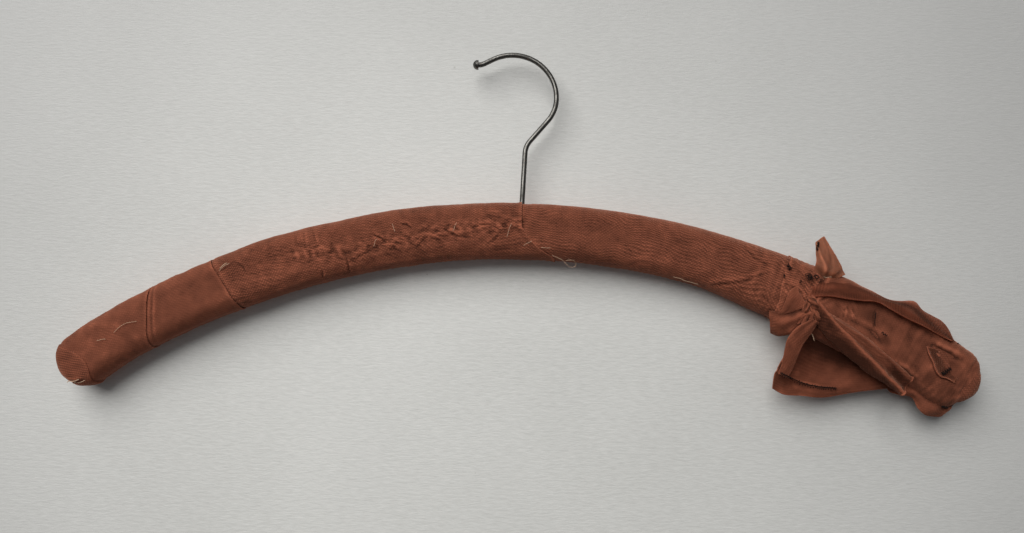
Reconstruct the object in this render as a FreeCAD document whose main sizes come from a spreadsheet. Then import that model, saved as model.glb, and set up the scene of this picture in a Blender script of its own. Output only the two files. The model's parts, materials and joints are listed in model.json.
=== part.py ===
import FreeCAD, Part
import math
import os
import Sketcher

# A wooden bow hanger wrapped in scraps of knitted stocking, with a swivelling wire hook.
#
# Frame of the finished part: origin at the rail seat, the inside of the hook's bowl where it
# hangs on a rail.  +Z is up, +X runs along the bow, -Y is the front and +Y the flat back.
# Every piece is drawn about the centre of the bow's arc, on the swivel axis, and its Placement
# then moves it so that the rail seat lands on the origin.
# A bow angle is counted from the swivel axis, positive towards +X.

SIZES = [
    # wooden bow: an arc of even height with round ends and rounded edges
    ("bow_radius", 353.2, "radius of the bow's centre line"),
    ("bow_height", 22.0, "height of the wood, across the arc"),
    ("bow_thickness", 13.0, "thickness of the wood, front to back"),
    ("bow_edge_round", 5.0, "rounding of the long edges"),
    ("bow_end_angle", 35.5, "bow angle of the centre of each round end"),
    # fabric layers, from the wood outwards
    ("layer_gap", 0.05, "air between one layer and the next"),
    ("lining_thickness", 0.8, "first winding of stocking on the wood"),
    ("sleeve_thickness", 0.9, "second layer, the sleeves and end patches"),
    ("cover_thickness", 1.0, "third layer, the gathered cover of the right end"),
    ("binding_thickness", 1.3, "third layer, the strip bound round the bow"),
    # bow angles at which the fabric pieces meet
    ("seam_gap", 0.02, "bow angle left open beside a seam"),
    ("left_reach", -45.0, "an angle past the left tip"),
    ("patch_seam", -34.4, "left end patch to left end wrap"),
    ("fold_seam", -28.6, "left end wrap to left shoulder wrap"),
    ("shoulder_seam", -23.15, "left shoulder wrap to centre left sleeve"),
    ("middle_seam", 1.5, "centre left sleeve to centre right sleeve"),
    ("sleeve_end", 22.9, "centre right sleeve to the right under cover"),
    ("binding_start", 20.3, "left edge of the binding strip"),
    ("binding_end", 22.6, "right edge of the binding strip"),
    ("cover_start", 22.7, "left edge of the gathered cover"),
    ("right_reach", 45.0, "an angle past the right tip"),
    ("reach_inner", 300.0, "inner radius that clears all the fabric"),
    ("reach_outer", 400.0, "outer radius that clears all the fabric"),
    ("reach_depth", 40.0, "front to back, past all the fabric"),
    # swivel: the shank turns in the wood and is headed over under a washer
    ("wire_diameter", 2.5, "hook wire"),
    ("shank_clearance", 0.08, "radial running clearance of the shank in the wood"),
    ("fabric_clearance", 0.35, "radial clearance of the shank in the fabric"),
    ("counterbore_diameter", 10.0, "recess in the underside of the wood"),
    ("counterbore_depth", 5.0, "depth of that recess"),
    ("washer_diameter", 8.0, "washer"),
    ("washer_thickness", 0.8, "washer"),
    ("foot_diameter", 5.2, "headed-over foot of the shank"),
    ("foot_rim", 0.7, "straight rim of the foot"),
    ("foot_length", 1.8, "foot, from the washer to its domed end"),
    # hook, from the top of the fabric to the tip
    ("journal_rise", 0.5, "straight shank above the fabric"),
    ("lean_bend", 30.0, "radius of the slight bend above the fabric"),
    ("lean_angle", 2.2, "lean of the neck towards +X"),
    ("neck_length", 23.6, "straight neck"),
    ("kick_bend", 10.0, "radius of the bend at the top of the neck"),
    ("kick_angle", 39.5, "lean of the kick towards +X"),
    ("kick_length", 13.4, "straight kick"),
    ("cheek_bend", 17.9, "radius from the kick up to the vertical"),
    ("bowl_bend", 21.7, "radius of the bowl that takes the rail"),
    ("nose_angle", 27.8, "slope of the nose below the horizontal"),
    ("nose_length", 4.6, "straight nose"),
    ("nose_bend", 6.4, "radius that levels the tip"),
    ("button_diameter", 4.7, "button on the tip"),
    ("button_rim", 1.0, "straight rim of the button"),
    ("button_length", 2.7, "button, from the wire to its domed end"),
    # knot of the tie, on the front of the bow
    ("knot_theta", 23.1, "bow angle of the knot"),
    ("knot_rise", -3.2, "knot, outwards from the bow's centre line"),
    ("knot_front", 13.4, "knot's centre in front of the mid plane"),
    ("knot_width", 13.0, "knot along the bow"),
    ("knot_height", 11.0, "knot across the bow"),
    ("knot_depth", 7.0, "knot front to back"),
    ("sheet_thickness", 0.6, "a flat tail or flap of stocking"),
    ("thread_diameter", 0.5, "sewing thread and overlocked seams"),
    # loose edges of the gathered cover
    ("top_flap_start", 26.0, "bow angle, upper loose edge"),
    ("top_flap_end", 32.0, "bow angle, upper loose edge"),
    ("top_flap_inner", 353.2, "radius at which the upper loose edge starts"),
    ("top_flap_outer", 371.5, "radius of the upper loose edge"),
    ("low_flap_start", 32.4, "bow angle, lower loose edge"),
    ("low_flap_end", 36.0, "bow angle, lower loose edge"),
    ("low_flap_inner", 331.0, "radius of the lower loose edge"),
    ("low_flap_outer", 353.2, "radius at which the lower loose edge starts"),
    # curl of loose thread at the middle seam
    ("thread_loop_theta", 4.25, "bow angle of the thread loop"),
    ("thread_loop_rise", -17.3, "thread loop, outwards from the centre line"),
    ("thread_loop_front", 6.0, "thread loop in front of the mid plane"),
    ("thread_loop_bend", 2.6, "centre-line radius of the thread loop"),
]

# Flat tails of stocking.  Each runs from its root in the direction of its lean, counted from
# straight up towards +X; shift moves the far edge sideways, to the right of that direction.
TAIL_KEYS = ("theta", "rise", "front", "lean", "length", "root", "end", "shift")
TAILS = {
    "upper_tie_tail": (23.15, 5.7, 10.05, 3.0, 21.0, 13.0, 4.0, 0.0),
    "hanging_strip": (23.2, -13.2, 10.05, 197.0, 25.0, 8.0, 9.5, 0.0),
    "lower_tie_tail": (23.05, -19.0, 1.0, 174.0, 25.5, 12.0, 59.0, -16.0),
    "long_tie_tail": (24.75, -6.9, 10.05, 131.6, 45.5, 6.0, 8.0, 0.0),
    "end_pocket_flap": (32.05, 6.7, 10.05, 140.0, 16.0, 9.0, 12.0, 0.0),
}

# Straight runs of thread, placed and aimed in the same way as the tails.
THREAD_KEYS = ("theta", "rise", "front", "lean", "length")
THREADS = {
    "hem_stitches": [(22.6, -42.9, 1.65, 98.0, 34.0)],
    "bar_seam_stitches": [(20.4, 6.9, 10.0, 209.0, 7.0), (21.8, -0.5, 10.7, 64.0, 14.0)],
    "upper_tail_stitches": [(22.0, 17.3, 10.7, 5.0, 5.0)],
    "cover_stitches": [(27.4, 7.5, 9.7, 181.0, 9.3), (28.5, -1.5, 9.7, 129.0, 2.8)],
    "left_end_stitches": [(-37.3, -6.1, 7.1, 80.0, 9.0)],
    "left_tack_stitch": [(-23.2, 4.9, 8.65, 55.0, 5.0)],
    "loose_threads": [(-0.93, -0.1, 8.65, 193.0, 4.5), (1.1, -6.6, 8.65, 224.0, 4.0),
                      (1.9, -9.0, 8.65, 75.0, 6.0)],
}

# How far each blank stands outside the wood, all round.
LINING_OUT = "sizes.layer_gap + sizes.lining_thickness"
SLEEVE_OUT = LINING_OUT + " + sizes.layer_gap + sizes.sleeve_thickness"
THIRD_IN = SLEEVE_OUT + " + sizes.layer_gap"
GROW = {
    "wood": "0",
    "lining_in": "sizes.layer_gap",
    "lining_out": LINING_OUT,
    "sleeve_in": LINING_OUT + " + sizes.layer_gap",
    "sleeve_out": SLEEVE_OUT,
    "third_in": THIRD_IN,
    "cover_out": THIRD_IN + " + sizes.cover_thickness",
    "binding_out": THIRD_IN + " + sizes.binding_thickness",
}

# Heights on the swivel axis, from the arc's centre.
RECESS_TOP = "(sizes.bow_radius - sizes.bow_height / 2 + sizes.counterbore_depth)"
WASHER_BASE = "(" + RECESS_TOP + " - sizes.layer_gap - sizes.washer_thickness)"
FOOT_TOP = "(" + WASHER_BASE + " - sizes.layer_gap)"
JOURNAL_TOP = "(sizes.bow_radius + sizes.bow_height / 2 + %s + sizes.journal_rise)" % SLEEVE_OUT
SWIVEL_X = "hook_path.Constraints.bowl_back"
SEAT_HEIGHT = "(hook_path.Constraints.bowl_up + (sizes.bowl_bend - sizes.wire_diameter / 2) * 1 mm)"

results = []


def size(alias):
    """The number in the sheet, for the first guess of a sketch."""
    return float(doc.sizes.get(alias))


def make_sheet():
    """The driving dimensions, one alias to a row."""
    sheet = doc.addObject("Spreadsheet::Sheet", "sizes")
    rows = list(SIZES)
    for tail, numbers in TAILS.items():
        for key, number in zip(TAIL_KEYS, numbers):
            rows.append((tail + "_" + key, number, "flat tail"))
    for group, runs in THREADS.items():
        for letter, numbers in zip("abc", runs):
            for key, number in zip(THREAD_KEYS, numbers):
                rows.append(("_".join((group, letter, key)), number, "run of thread"))
    for row, (alias, number, meaning) in enumerate(rows, start=1):
        sheet.set("A%d" % row, alias)
        sheet.set("B%d" % row, str(number))
        sheet.set("C%d" % row, meaning)
        sheet.setAlias("B%d" % row, alias)
    doc.recompute()


def bind(target, **expressions):
    """Bind properties to the sheet; a double underscore in a name stands for a dot."""
    for name, expression in expressions.items():
        target.setExpression(name.replace("__", "."), expression)


def result(piece, label):
    """Give a finished sub-part its name and count it for the hand-over."""
    piece.Label = label
    results.append(piece)


def place_on_bow(piece):
    """Place a piece that is drawn about the arc's centre."""
    bind(piece, Placement__Base__x=SWIVEL_X, Placement__Base__z="-" + SEAT_HEIGHT)


def place_at(piece, prefix, turn_axis=None, turn=0.0):
    """Place a piece that is drawn about its own root: bow angle, rise and front distance."""
    if turn_axis:
        piece.Placement = FreeCAD.Placement(FreeCAD.Vector(), FreeCAD.Rotation(turn_axis, turn))
    out = "(sizes.bow_radius + sizes.%s_rise) * 1 mm" % prefix
    bind(piece,
         Placement__Base__x="%s + %s * sin(sizes.%s_theta)" % (SWIVEL_X, out, prefix),
         Placement__Base__y="-sizes.%s_front" % prefix,
         Placement__Base__z="%s * cos(sizes.%s_theta) - %s" % (out, prefix, SEAT_HEIGHT))


def place_leaning(piece, prefix):
    """Place a piece by its root and lean its own +Z by the prefix's lean."""
    place_at(piece, prefix, FreeCAD.Vector(0, 1, 0), 1)
    bind(piece, Placement__Rotation__Angle="sizes.%s_lean" % prefix)


def new_body(name):
    return doc.addObject("PartDesign::Body", name)


def plane_sketch(body, role, name):
    """A sketch on one of the body's own origin planes."""
    sketch = body.newObject("Sketcher::SketchObject", name)
    plane = [item for item in body.Origin.OriginFeatures if item.Role == role][0]
    sketch.AttachmentSupport = [(plane, "")]
    sketch.MapMode = "FlatFace"
    return sketch


def point(x, y):
    return FreeCAD.Vector(x, y, 0)


def polar(radius, degrees):
    angle = math.radians(degrees)
    return point(radius * math.cos(angle), radius * math.sin(angle))


def arc(centre, radius, start, end):
    """An arc drawn anticlockwise between two angles in degrees."""
    circle = Part.Circle(centre, FreeCAD.Vector(0, 0, 1), radius)
    return Part.ArcOfCircle(circle, math.radians(start), math.radians(end))


def rule(sketch, kind, *arguments):
    return sketch.addConstraint(Sketcher.Constraint(kind, *arguments))


def driven(sketch, name, expression, kind, *arguments):
    """A dimension of the sketch that follows the sheet."""
    index = rule(sketch, kind, *arguments)
    sketch.renameConstraint(index, name)
    sketch.setExpression("Constraints." + name, expression)


def measured(sketch, name, kind, *arguments):
    """A dimension that the sketch only reports, for other expressions to use."""
    index = rule(sketch, kind, *arguments)
    sketch.renameConstraint(index, name)
    sketch.setDriving(index, False)


def pad(body, sketch, length, side="One side"):
    made = body.newObject("PartDesign::Pad", sketch.Name + "_pad")
    made.Profile = sketch
    made.SideType = side
    bind(made, Length=length)
    body.Tip = made
    return made


def bow_blank(name, layer):
    """The bow's outline with rounded edges, grown outwards all round by a layer's distance."""
    grow = "(" + GROW[layer] + ")"
    body = new_body(name)
    sketch = plane_sketch(body, "XZ_Plane", name + "_outline")
    middle = size("bow_radius")
    half = size("bow_height") / 2
    right = 90 - size("bow_end_angle")
    left = 90 + size("bow_end_angle")
    outer = sketch.addGeometry(arc(point(0, 0), middle + half, right, left))
    inner = sketch.addGeometry(arc(point(0, 0), middle - half, right, left))
    right_end = sketch.addGeometry(arc(polar(middle, right), half, right - 180, right))
    left_end = sketch.addGeometry(arc(polar(middle, left), half, left, left + 180))
    rule(sketch, "Coincident", outer, 3, -1, 1)
    rule(sketch, "Coincident", inner, 3, -1, 1)
    rule(sketch, "Tangent", outer, 1, right_end, 2)
    rule(sketch, "Tangent", inner, 1, right_end, 1)
    rule(sketch, "Tangent", outer, 2, left_end, 1)
    rule(sketch, "Tangent", inner, 2, left_end, 2)
    for end, side, sign in ((right_end, right, "-"), (left_end, left, "+")):
        spoke = sketch.addGeometry(Part.LineSegment(point(0, 0), polar(middle, side)), True)
        rule(sketch, "Coincident", spoke, 1, -1, 1)
        rule(sketch, "Coincident", spoke, 2, end, 3)
        driven(sketch, "end_%d" % spoke, "90 %s sizes.bow_end_angle" % sign,
               "Angle", spoke, math.radians(side))
    driven(sketch, "outer_radius", "sizes.bow_radius + sizes.bow_height / 2 + " + grow,
           "Radius", outer, middle + half)
    driven(sketch, "inner_radius", "sizes.bow_radius - sizes.bow_height / 2 - " + grow,
           "Radius", inner, middle - half)
    block = pad(body, sketch, "sizes.bow_thickness + 2 * " + grow, "Symmetric")
    doc.recompute()
    rim = ["Edge%d" % number for number, edge in enumerate(block.Shape.Edges, start=1)
           if edge.BoundBox.YLength < 0.001]
    rounding = body.newObject("PartDesign::Fillet", name + "_rounding")
    rounding.Base = (block, rim)
    bind(rounding, Radius="sizes.bow_edge_round + " + grow)
    body.Tip = rounding
    return body


def ring_slice(name, start, end, inner="sizes.reach_inner", outer="sizes.reach_outer",
               depth="sizes.reach_depth"):
    """A slice of a flat ring about the arc's centre, between two bow angles of the sheet."""
    body = new_body(name)
    sketch = plane_sketch(body, "XZ_Plane", name + "_outline")
    near = size("reach_inner")
    far = size("reach_outer")
    low = 90 - size(end)
    high = 90 - size(start)
    rims = [sketch.addGeometry(arc(point(0, 0), radius, low, high)) for radius in (near, far)]
    for rim, name_of, radius, guess in zip(rims, ("inner", "outer"), (inner, outer), (near, far)):
        rule(sketch, "Coincident", rim, 3, -1, 1)
        driven(sketch, name_of, radius, "Radius", rim, guess)
    for rim_end, name_of, degrees, bow_angle in ((1, "low", low, "sizes." + end),
                                                 (2, "high", high, "sizes." + start)):
        side = sketch.addGeometry(Part.LineSegment(polar(near, degrees), polar(far, degrees)))
        rule(sketch, "Coincident", side, 1, rims[0], rim_end)
        rule(sketch, "Coincident", side, 2, rims[1], rim_end)
        rule(sketch, "PointOnObject", -1, 1, side)
        sign = "+" if name_of == "low" else "-"
        driven(sketch, name_of, "90 - %s %s sizes.seam_gap" % (bow_angle, sign),
               "Angle", side, math.radians(degrees))
    pad(body, sketch, depth, "Symmetric")
    return body


def boolean(kind, name, base, tool):
    made = doc.addObject("Part::" + kind, name)
    made.Base = base
    made.Tool = tool
    return made


def layer(name, outside, inside):
    """A shell of fabric round the bow, pierced for the shank."""
    shell = boolean("Cut", name + "_shell", bow_blank(name + "_outside", outside),
                    bow_blank(name + "_inside", inside))
    pierce = doc.addObject("Part::Cylinder", name + "_pierce")
    bind(pierce, Radius="sizes.wire_diameter / 2 + sizes.fabric_clearance",
         Height="sizes.bow_height", Placement__Base__z="sizes.bow_radius")
    return boolean("Cut", name, shell, pierce)


def wrap(label, shell, start, end):
    """One piece of a fabric layer, between two bow angles."""
    piece = boolean("Common", label, shell, ring_slice(label + "_slice", start, end))
    place_on_bow(piece)
    result(piece, label)


def circle_sketch(body, name, diameters, height):
    """Concentric circles across the swivel axis, at a height above the arc's centre."""
    sketch = plane_sketch(body, "XY_Plane", name)
    bind(sketch, AttachmentOffset__Base__z=height)
    for count, diameter in enumerate(diameters):
        ring = sketch.addGeometry(Part.Circle(point(0, 0), FreeCAD.Vector(0, 0, 1), 1 + count))
        rule(sketch, "Coincident", ring, 3, -1, 1)
        driven(sketch, "across_%d" % count, diameter, "Diameter", ring, 2.0 + 2 * count)
    return sketch


def drill_up(body, name, diameter, length=None):
    """Cut a round hole along the swivel axis, upwards from the arc's centre."""
    before = body.Shape.Volume
    hole = body.newObject("PartDesign::Pocket", name)
    hole.Profile = circle_sketch(body, name + "_circle", [diameter], "0")
    hole.Reversed = True
    if length:
        bind(hole, Length=length)
    else:
        hole.Type = "ThroughAll"
    body.Tip = hole
    doc.recompute()
    if body.Shape.Volume >= before:
        raise RuntimeError(name + " cuts nothing")


def make_wood_bow():
    body = bow_blank("wood_bow", "wood")
    doc.recompute()
    drill_up(body, "shank_hole", "sizes.wire_diameter + 2 * sizes.shank_clearance")
    drill_up(body, "foot_recess", "sizes.counterbore_diameter", RECESS_TOP)
    place_on_bow(body)
    result(body, "wood_bow")


def make_washer():
    body = new_body("hook_washer")
    bore = "sizes.wire_diameter + 2 * sizes.shank_clearance"
    outline = circle_sketch(body, "washer_circles", [bore, "sizes.washer_diameter"], WASHER_BASE)
    pad(body, outline, "sizes.washer_thickness")
    place_on_bow(body)
    result(body, "hook_washer")


class Path:
    """A sketched line that is drawn from end to end, each stretch tangent to the last.

    A heading is counted from the sketch's +Y towards its +X, in degrees.
    """

    def __init__(self, sketch, start):
        self.sketch = sketch
        self.place = start
        self.heading = 0.0
        self.tail = None

    def join(self, item, begin, finish):
        """Tie the new stretch to the last one; begin and finish number its own ends."""
        if self.tail:
            rule(self.sketch, "Tangent", self.tail[0], self.tail[1], item, begin)
        self.tail = (item, finish)
        return item

    def line(self, length, backwards=False):
        step = polar(length, 90 - self.heading)
        ends = [self.place, self.place + step]
        self.place = ends[1]
        if backwards:
            ends.reverse()
        item = self.sketch.addGeometry(Part.LineSegment(*ends))
        return self.join(item, 2 if backwards else 1, 1 if backwards else 2)

    def bend(self, name, turn):
        """Turn through an angle, to the right when positive, on the sheet's bend radius."""
        radius = size(name)
        side = 1 if turn > 0 else -1
        centre = self.place + polar(radius, -self.heading) * side
        old = 180 - self.heading if turn > 0 else -self.heading
        new = old - turn
        item = self.sketch.addGeometry(arc(centre, radius, min(old, new), max(old, new)))
        self.heading += turn
        self.place = centre + polar(radius, new)
        driven(self.sketch, name, "sizes." + name, "Radius", item, radius)
        return self.join(item, *((2, 1) if turn > 0 else (1, 2)))


def make_hook_path(body):
    """The centre line of the wire, from inside its foot to the button."""
    sketch = plane_sketch(body, "XZ_Plane", "hook_path")
    foot = size("bow_radius") - size("bow_height") / 2
    path = Path(sketch, point(0, foot))
    journal = path.line(size("bow_height"))
    path.bend("lean_bend", size("lean_angle"))
    neck = path.line(size("neck_length"))
    path.bend("kick_bend", size("kick_angle") - size("lean_angle"))
    kick = path.line(size("kick_length"))
    path.bend("cheek_bend", -size("kick_angle"))
    bowl = path.bend("bowl_bend", -90 - size("nose_angle"))
    nose = path.line(size("nose_length"), backwards=True)
    tip = path.bend("nose_bend", size("nose_angle"))
    rule(sketch, "PointOnObject", journal, 1, -2)
    rule(sketch, "Vertical", journal)
    driven(sketch, "journal_base", FOOT_TOP + " - sizes.foot_rim",
           "DistanceY", -1, 1, journal, 1, foot)
    driven(sketch, "journal_top", JOURNAL_TOP,
           "DistanceY", -1, 1, journal, 2, foot + size("bow_height"))
    for item, name, slope in ((neck, "neck", "lean"), (kick, "kick", "kick")):
        driven(sketch, name + "_run", "sizes.%s_length" % name,
               "Distance", item, size(name + "_length"))
        driven(sketch, slope + "_slope", "90 - sizes.%s_angle" % slope,
               "Angle", item, math.radians(90 - size(slope + "_angle")))
    rule(sketch, "Horizontal", bowl, 3, bowl, 1)
    driven(sketch, "nose_run", "sizes.nose_length", "Distance", nose, size("nose_length"))
    driven(sketch, "nose_slope", "sizes.nose_angle", "Angle", nose, math.radians(size("nose_angle")))
    rule(sketch, "Vertical", tip, 3, tip, 1)
    measured(sketch, "bowl_back", "DistanceX", bowl, 3, -1, 1, 6)
    measured(sketch, "bowl_up", "DistanceY", -1, 1, bowl, 3, 400)
    measured(sketch, "tip_back", "DistanceX", tip, 1, -1, 1, 22)
    measured(sketch, "tip_up", "DistanceY", -1, 1, tip, 1, 430)
    return sketch


def add_head(body, name, prefix, turn, **where):
    """A mushroom head: flat face, straight rim, domed end; it points down before its turn."""
    sketch = plane_sketch(body, "XZ_Plane", name + "_half")
    sketch.AttachmentOffset = FreeCAD.Placement(
        FreeCAD.Vector(), FreeCAD.Rotation(FreeCAD.Vector(0, 0, 1), turn))
    bind(sketch, **where)
    radius = size(prefix + "_diameter") / 2
    rim = size(prefix + "_rim")
    length = size(prefix + "_length")
    rise = length - rim
    dome = (radius ** 2 + rise ** 2) / (2 * rise)
    spread = math.degrees(math.asin(radius / dome))
    face = sketch.addGeometry(Part.LineSegment(point(0, 0), point(radius, 0)))
    edge = sketch.addGeometry(Part.LineSegment(point(radius, 0), point(radius, -rim)))
    cap = sketch.addGeometry(arc(point(0, dome - length), dome, -90, -90 + spread))
    axis = sketch.addGeometry(Part.LineSegment(point(0, -length), point(0, 0)))
    rule(sketch, "Coincident", face, 1, -1, 1)
    rule(sketch, "Horizontal", face)
    rule(sketch, "Coincident", face, 2, edge, 1)
    rule(sketch, "Vertical", edge)
    rule(sketch, "Coincident", edge, 2, cap, 2)
    rule(sketch, "Coincident", cap, 1, axis, 1)
    rule(sketch, "Coincident", axis, 2, face, 1)
    rule(sketch, "Vertical", axis)
    rule(sketch, "PointOnObject", cap, 3, -2)
    driven(sketch, "half", "sizes.%s_diameter / 2" % prefix, "Distance", face, radius)
    driven(sketch, "rim", "sizes.%s_rim" % prefix, "Distance", edge, rim)
    driven(sketch, "long", "sizes.%s_length" % prefix, "Distance", axis, length)
    head = body.newObject("PartDesign::Revolution", name)
    head.Profile = sketch
    head.ReferenceAxis = (sketch, ["V_Axis"])
    head.Angle = 360
    body.Tip = head


def make_hook_wire():
    body = new_body("hook_wire")
    path = make_hook_path(body)
    section = circle_sketch(body, "wire_section", ["sizes.wire_diameter"],
                            FOOT_TOP + " - sizes.foot_rim")
    doc.recompute()
    wire = body.newObject("PartDesign::AdditivePipe", "wire_sweep")
    wire.Profile = section
    wire.Spine = (path, ["Edge%d" % number for number in range(1, len(path.Shape.Edges) + 1)])
    body.Tip = wire
    add_head(body, "foot", "foot", 0, AttachmentOffset__Base__y=FOOT_TOP)
    add_head(body, "button", "button", -90, AttachmentOffset__Base__x="-hook_path.Constraints.tip_back",
             AttachmentOffset__Base__y="hook_path.Constraints.tip_up")
    place_on_bow(body)
    result(body, "hook_wire")


def make_wraps():
    """The lining, the sleeves and end patches of the second layer, and the binding strip."""
    lining = layer("stocking_lining", "lining_out", "lining_in")
    place_on_bow(lining)
    result(lining, "stocking_lining")
    sleeves = layer("sleeve_layer", "sleeve_out", "sleeve_in")
    seams = ("left_reach", "patch_seam", "fold_seam", "shoulder_seam", "middle_seam",
             "sleeve_end", "right_reach")
    labels = ("left_end_patch", "left_end_wrap", "left_shoulder_wrap", "centre_left_sleeve",
              "centre_right_sleeve", "right_under_cover")
    for label, start, end in zip(labels, seams, seams[1:]):
        wrap(label, sleeves, start, end)
    inside = bow_blank("third_inside", "third_in")
    ring = boolean("Cut", "binding_ring", bow_blank("binding_outside", "binding_out"), inside)
    wrap("binding_strip", ring, "binding_start", "binding_end")
    return inside


def make_cover(inside):
    """The gathered cover of the right end, with the loose edges that stand off it."""
    shell = boolean("Common", "cover_shell", bow_blank("cover_outside", "cover_out"),
                    ring_slice("cover_slice", "cover_start", "right_reach"))
    flaps = [ring_slice(edge, edge + "_start", edge + "_end", "sizes.%s_inner" % edge,
                        "sizes.%s_outer" % edge, "sizes.sheet_thickness")
             for edge in ("top_flap", "low_flap")]
    joined = doc.addObject("Part::MultiFuse", "cover_and_flaps")
    joined.Shapes = [shell] + flaps
    cover = boolean("Cut", "right_end_cover", joined, inside)
    place_on_bow(cover)
    result(cover, "right_end_cover")


def make_knot():
    knot = doc.addObject("Part::Ellipsoid", "tie_knot")
    bind(knot, Radius1="sizes.knot_height / 2", Radius2="sizes.knot_width / 2",
         Radius3="sizes.knot_depth / 2")
    place_at(knot, "knot")
    result(knot, "tie_knot")


def make_tail(label):
    """A flat tail: a four-cornered sheet with its root edge at the sketch's origin."""
    body = new_body(label)
    sketch = plane_sketch(body, "XZ_Plane", label + "_outline")
    root = size(label + "_root") / 2
    end = size(label + "_end") / 2
    length = size(label + "_length")
    shift = size(label + "_shift")
    corners = [point(-root, 0), point(root, 0), point(shift + end, length), point(shift - end, length)]
    sides = [sketch.addGeometry(Part.LineSegment(first, second))
             for first, second in zip(corners, corners[1:] + corners[:1])]
    for side, following in zip(sides, sides[1:] + sides[:1]):
        rule(sketch, "Coincident", side, 2, following, 1)
    near, _, far, _ = sides
    rule(sketch, "Horizontal", near)
    rule(sketch, "Horizontal", far)
    rule(sketch, "Symmetric", near, 1, near, 2, -1, 1)
    prefix = "sizes." + label
    driven(sketch, "root", prefix + "_root", "DistanceX", near, 1, near, 2, 2 * root)
    driven(sketch, "far", prefix + "_end", "DistanceX", far, 2, far, 1, 2 * end)
    driven(sketch, "run", prefix + "_length", "DistanceY", -1, 1, far, 1, length)
    driven(sketch, "corner", "%s_shift + %s_end / 2" % (prefix, prefix),
           "DistanceX", -1, 1, far, 1, shift + end)
    pad(body, sketch, "sizes.sheet_thickness", "Symmetric")
    place_leaning(body, label)
    result(body, label)


def make_threads(label, runs):
    """A group of straight runs of thread."""
    pieces = []
    for letter in "abc"[:len(runs)]:
        prefix = label + "_" + letter
        run = doc.addObject("Part::Cylinder", prefix)
        bind(run, Radius="sizes.thread_diameter / 2", Height="sizes.%s_length" % prefix)
        place_leaning(run, prefix)
        pieces.append(run)
    if label == "loose_threads":
        loop = doc.addObject("Part::Torus", "thread_loop")
        bind(loop, Radius1="sizes.thread_loop_bend", Radius2="sizes.thread_diameter / 2")
        place_at(loop, "thread_loop", FreeCAD.Vector(1, 0, 0), 90)
        pieces.append(loop)
    group = doc.addObject("Part::Compound", label)
    group.Links = pieces
    result(group, label)


def check_and_export():
    """Stop on any failed object, then write one file for each sub-part."""
    doc.recompute()
    for item in doc.Objects:
        if "Invalid" in item.State or "Error" in item.State:
            raise RuntimeError("%s failed: %s" % (item.Name, item.State))
    for piece in results:
        if piece.Shape.isNull() or not piece.Shape.isValid():
            raise RuntimeError("%s has no valid shape" % piece.Label)
    os.makedirs("parts", exist_ok=True)
    for piece in results:
        piece.Shape.exportStep("parts/%s.step" % piece.Label)


doc = FreeCAD.newDocument("hanger")
make_sheet()
make_hook_wire()
make_wood_bow()
make_washer()
third_inside = make_wraps()
make_cover(third_inside)
make_knot()
for tail_label in TAILS:
    make_tail(tail_label)
for group_label, group_runs in THREADS.items():
    make_threads(group_label, group_runs)
check_and_export()
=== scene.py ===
import json
import math

import bmesh
import bpy
import numpy as np
from mathutils import Matrix, Vector

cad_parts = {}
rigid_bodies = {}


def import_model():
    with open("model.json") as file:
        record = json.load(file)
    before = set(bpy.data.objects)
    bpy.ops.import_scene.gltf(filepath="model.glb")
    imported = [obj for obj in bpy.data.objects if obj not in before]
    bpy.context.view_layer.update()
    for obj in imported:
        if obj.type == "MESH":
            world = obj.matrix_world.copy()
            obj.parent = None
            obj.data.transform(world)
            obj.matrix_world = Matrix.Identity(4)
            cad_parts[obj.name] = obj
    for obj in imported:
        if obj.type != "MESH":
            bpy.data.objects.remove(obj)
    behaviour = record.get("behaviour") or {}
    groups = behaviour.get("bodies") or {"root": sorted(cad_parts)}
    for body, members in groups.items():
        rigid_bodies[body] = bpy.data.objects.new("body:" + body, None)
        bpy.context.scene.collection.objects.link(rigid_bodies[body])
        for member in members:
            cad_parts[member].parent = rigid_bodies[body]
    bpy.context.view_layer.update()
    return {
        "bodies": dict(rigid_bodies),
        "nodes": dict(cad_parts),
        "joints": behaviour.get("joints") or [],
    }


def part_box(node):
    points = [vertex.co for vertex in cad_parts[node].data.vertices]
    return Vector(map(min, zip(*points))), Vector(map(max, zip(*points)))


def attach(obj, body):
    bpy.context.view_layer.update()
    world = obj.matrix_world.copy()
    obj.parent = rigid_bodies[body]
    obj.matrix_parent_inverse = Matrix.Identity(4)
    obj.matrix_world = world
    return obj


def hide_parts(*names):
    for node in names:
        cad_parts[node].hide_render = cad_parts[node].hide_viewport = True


# A bow hanger covered in scraps of knitted stocking.  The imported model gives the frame; this
# script builds the fabric, the threads and every material around it.
#
# Places on the fabric are given in millimetres as (along, across, proud): along the bow from
# the swivel axis, positive to the right; across it from its centre line, positive outwards
# (up); and proud of its mid plane, positive to the front.  GIRTH is about the way round the
# fabric, CLOTH one thickness of it, STEP the usual mesh spacing, and WELD the distance within
# which points are joined.

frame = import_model()

MM = 0.001
BOW_RADIUS = 353.2
BOW_HALF_HEIGHT = 11.0
WOOD_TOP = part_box("wood_bow")[1].z / MM
SWIVEL = frame["joints"][0]["pos_m"][0] / MM
ARC_CENTRE = WOOD_TOP - BOW_RADIUS - BOW_HALF_HEIGHT
END_ANGLE = 35.5
END_ALONG = BOW_RADIUS * math.radians(END_ANGLE)
COVER_HALF_HEIGHT = 12.8
COVER_HALF_DEPTH = 8.3
COVER_CORNER = 6.8
GIRTH = 72.0
CLOTH = 0.3
STEP = 0.7
WELD = 0.02
LATTICE = 64
SHANK_HOLE = 1.75
BOARD_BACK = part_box("binding_strip")[1].y / MM + 0.4

# ----- numbers and noise ------------------------------------------------------------------


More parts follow.
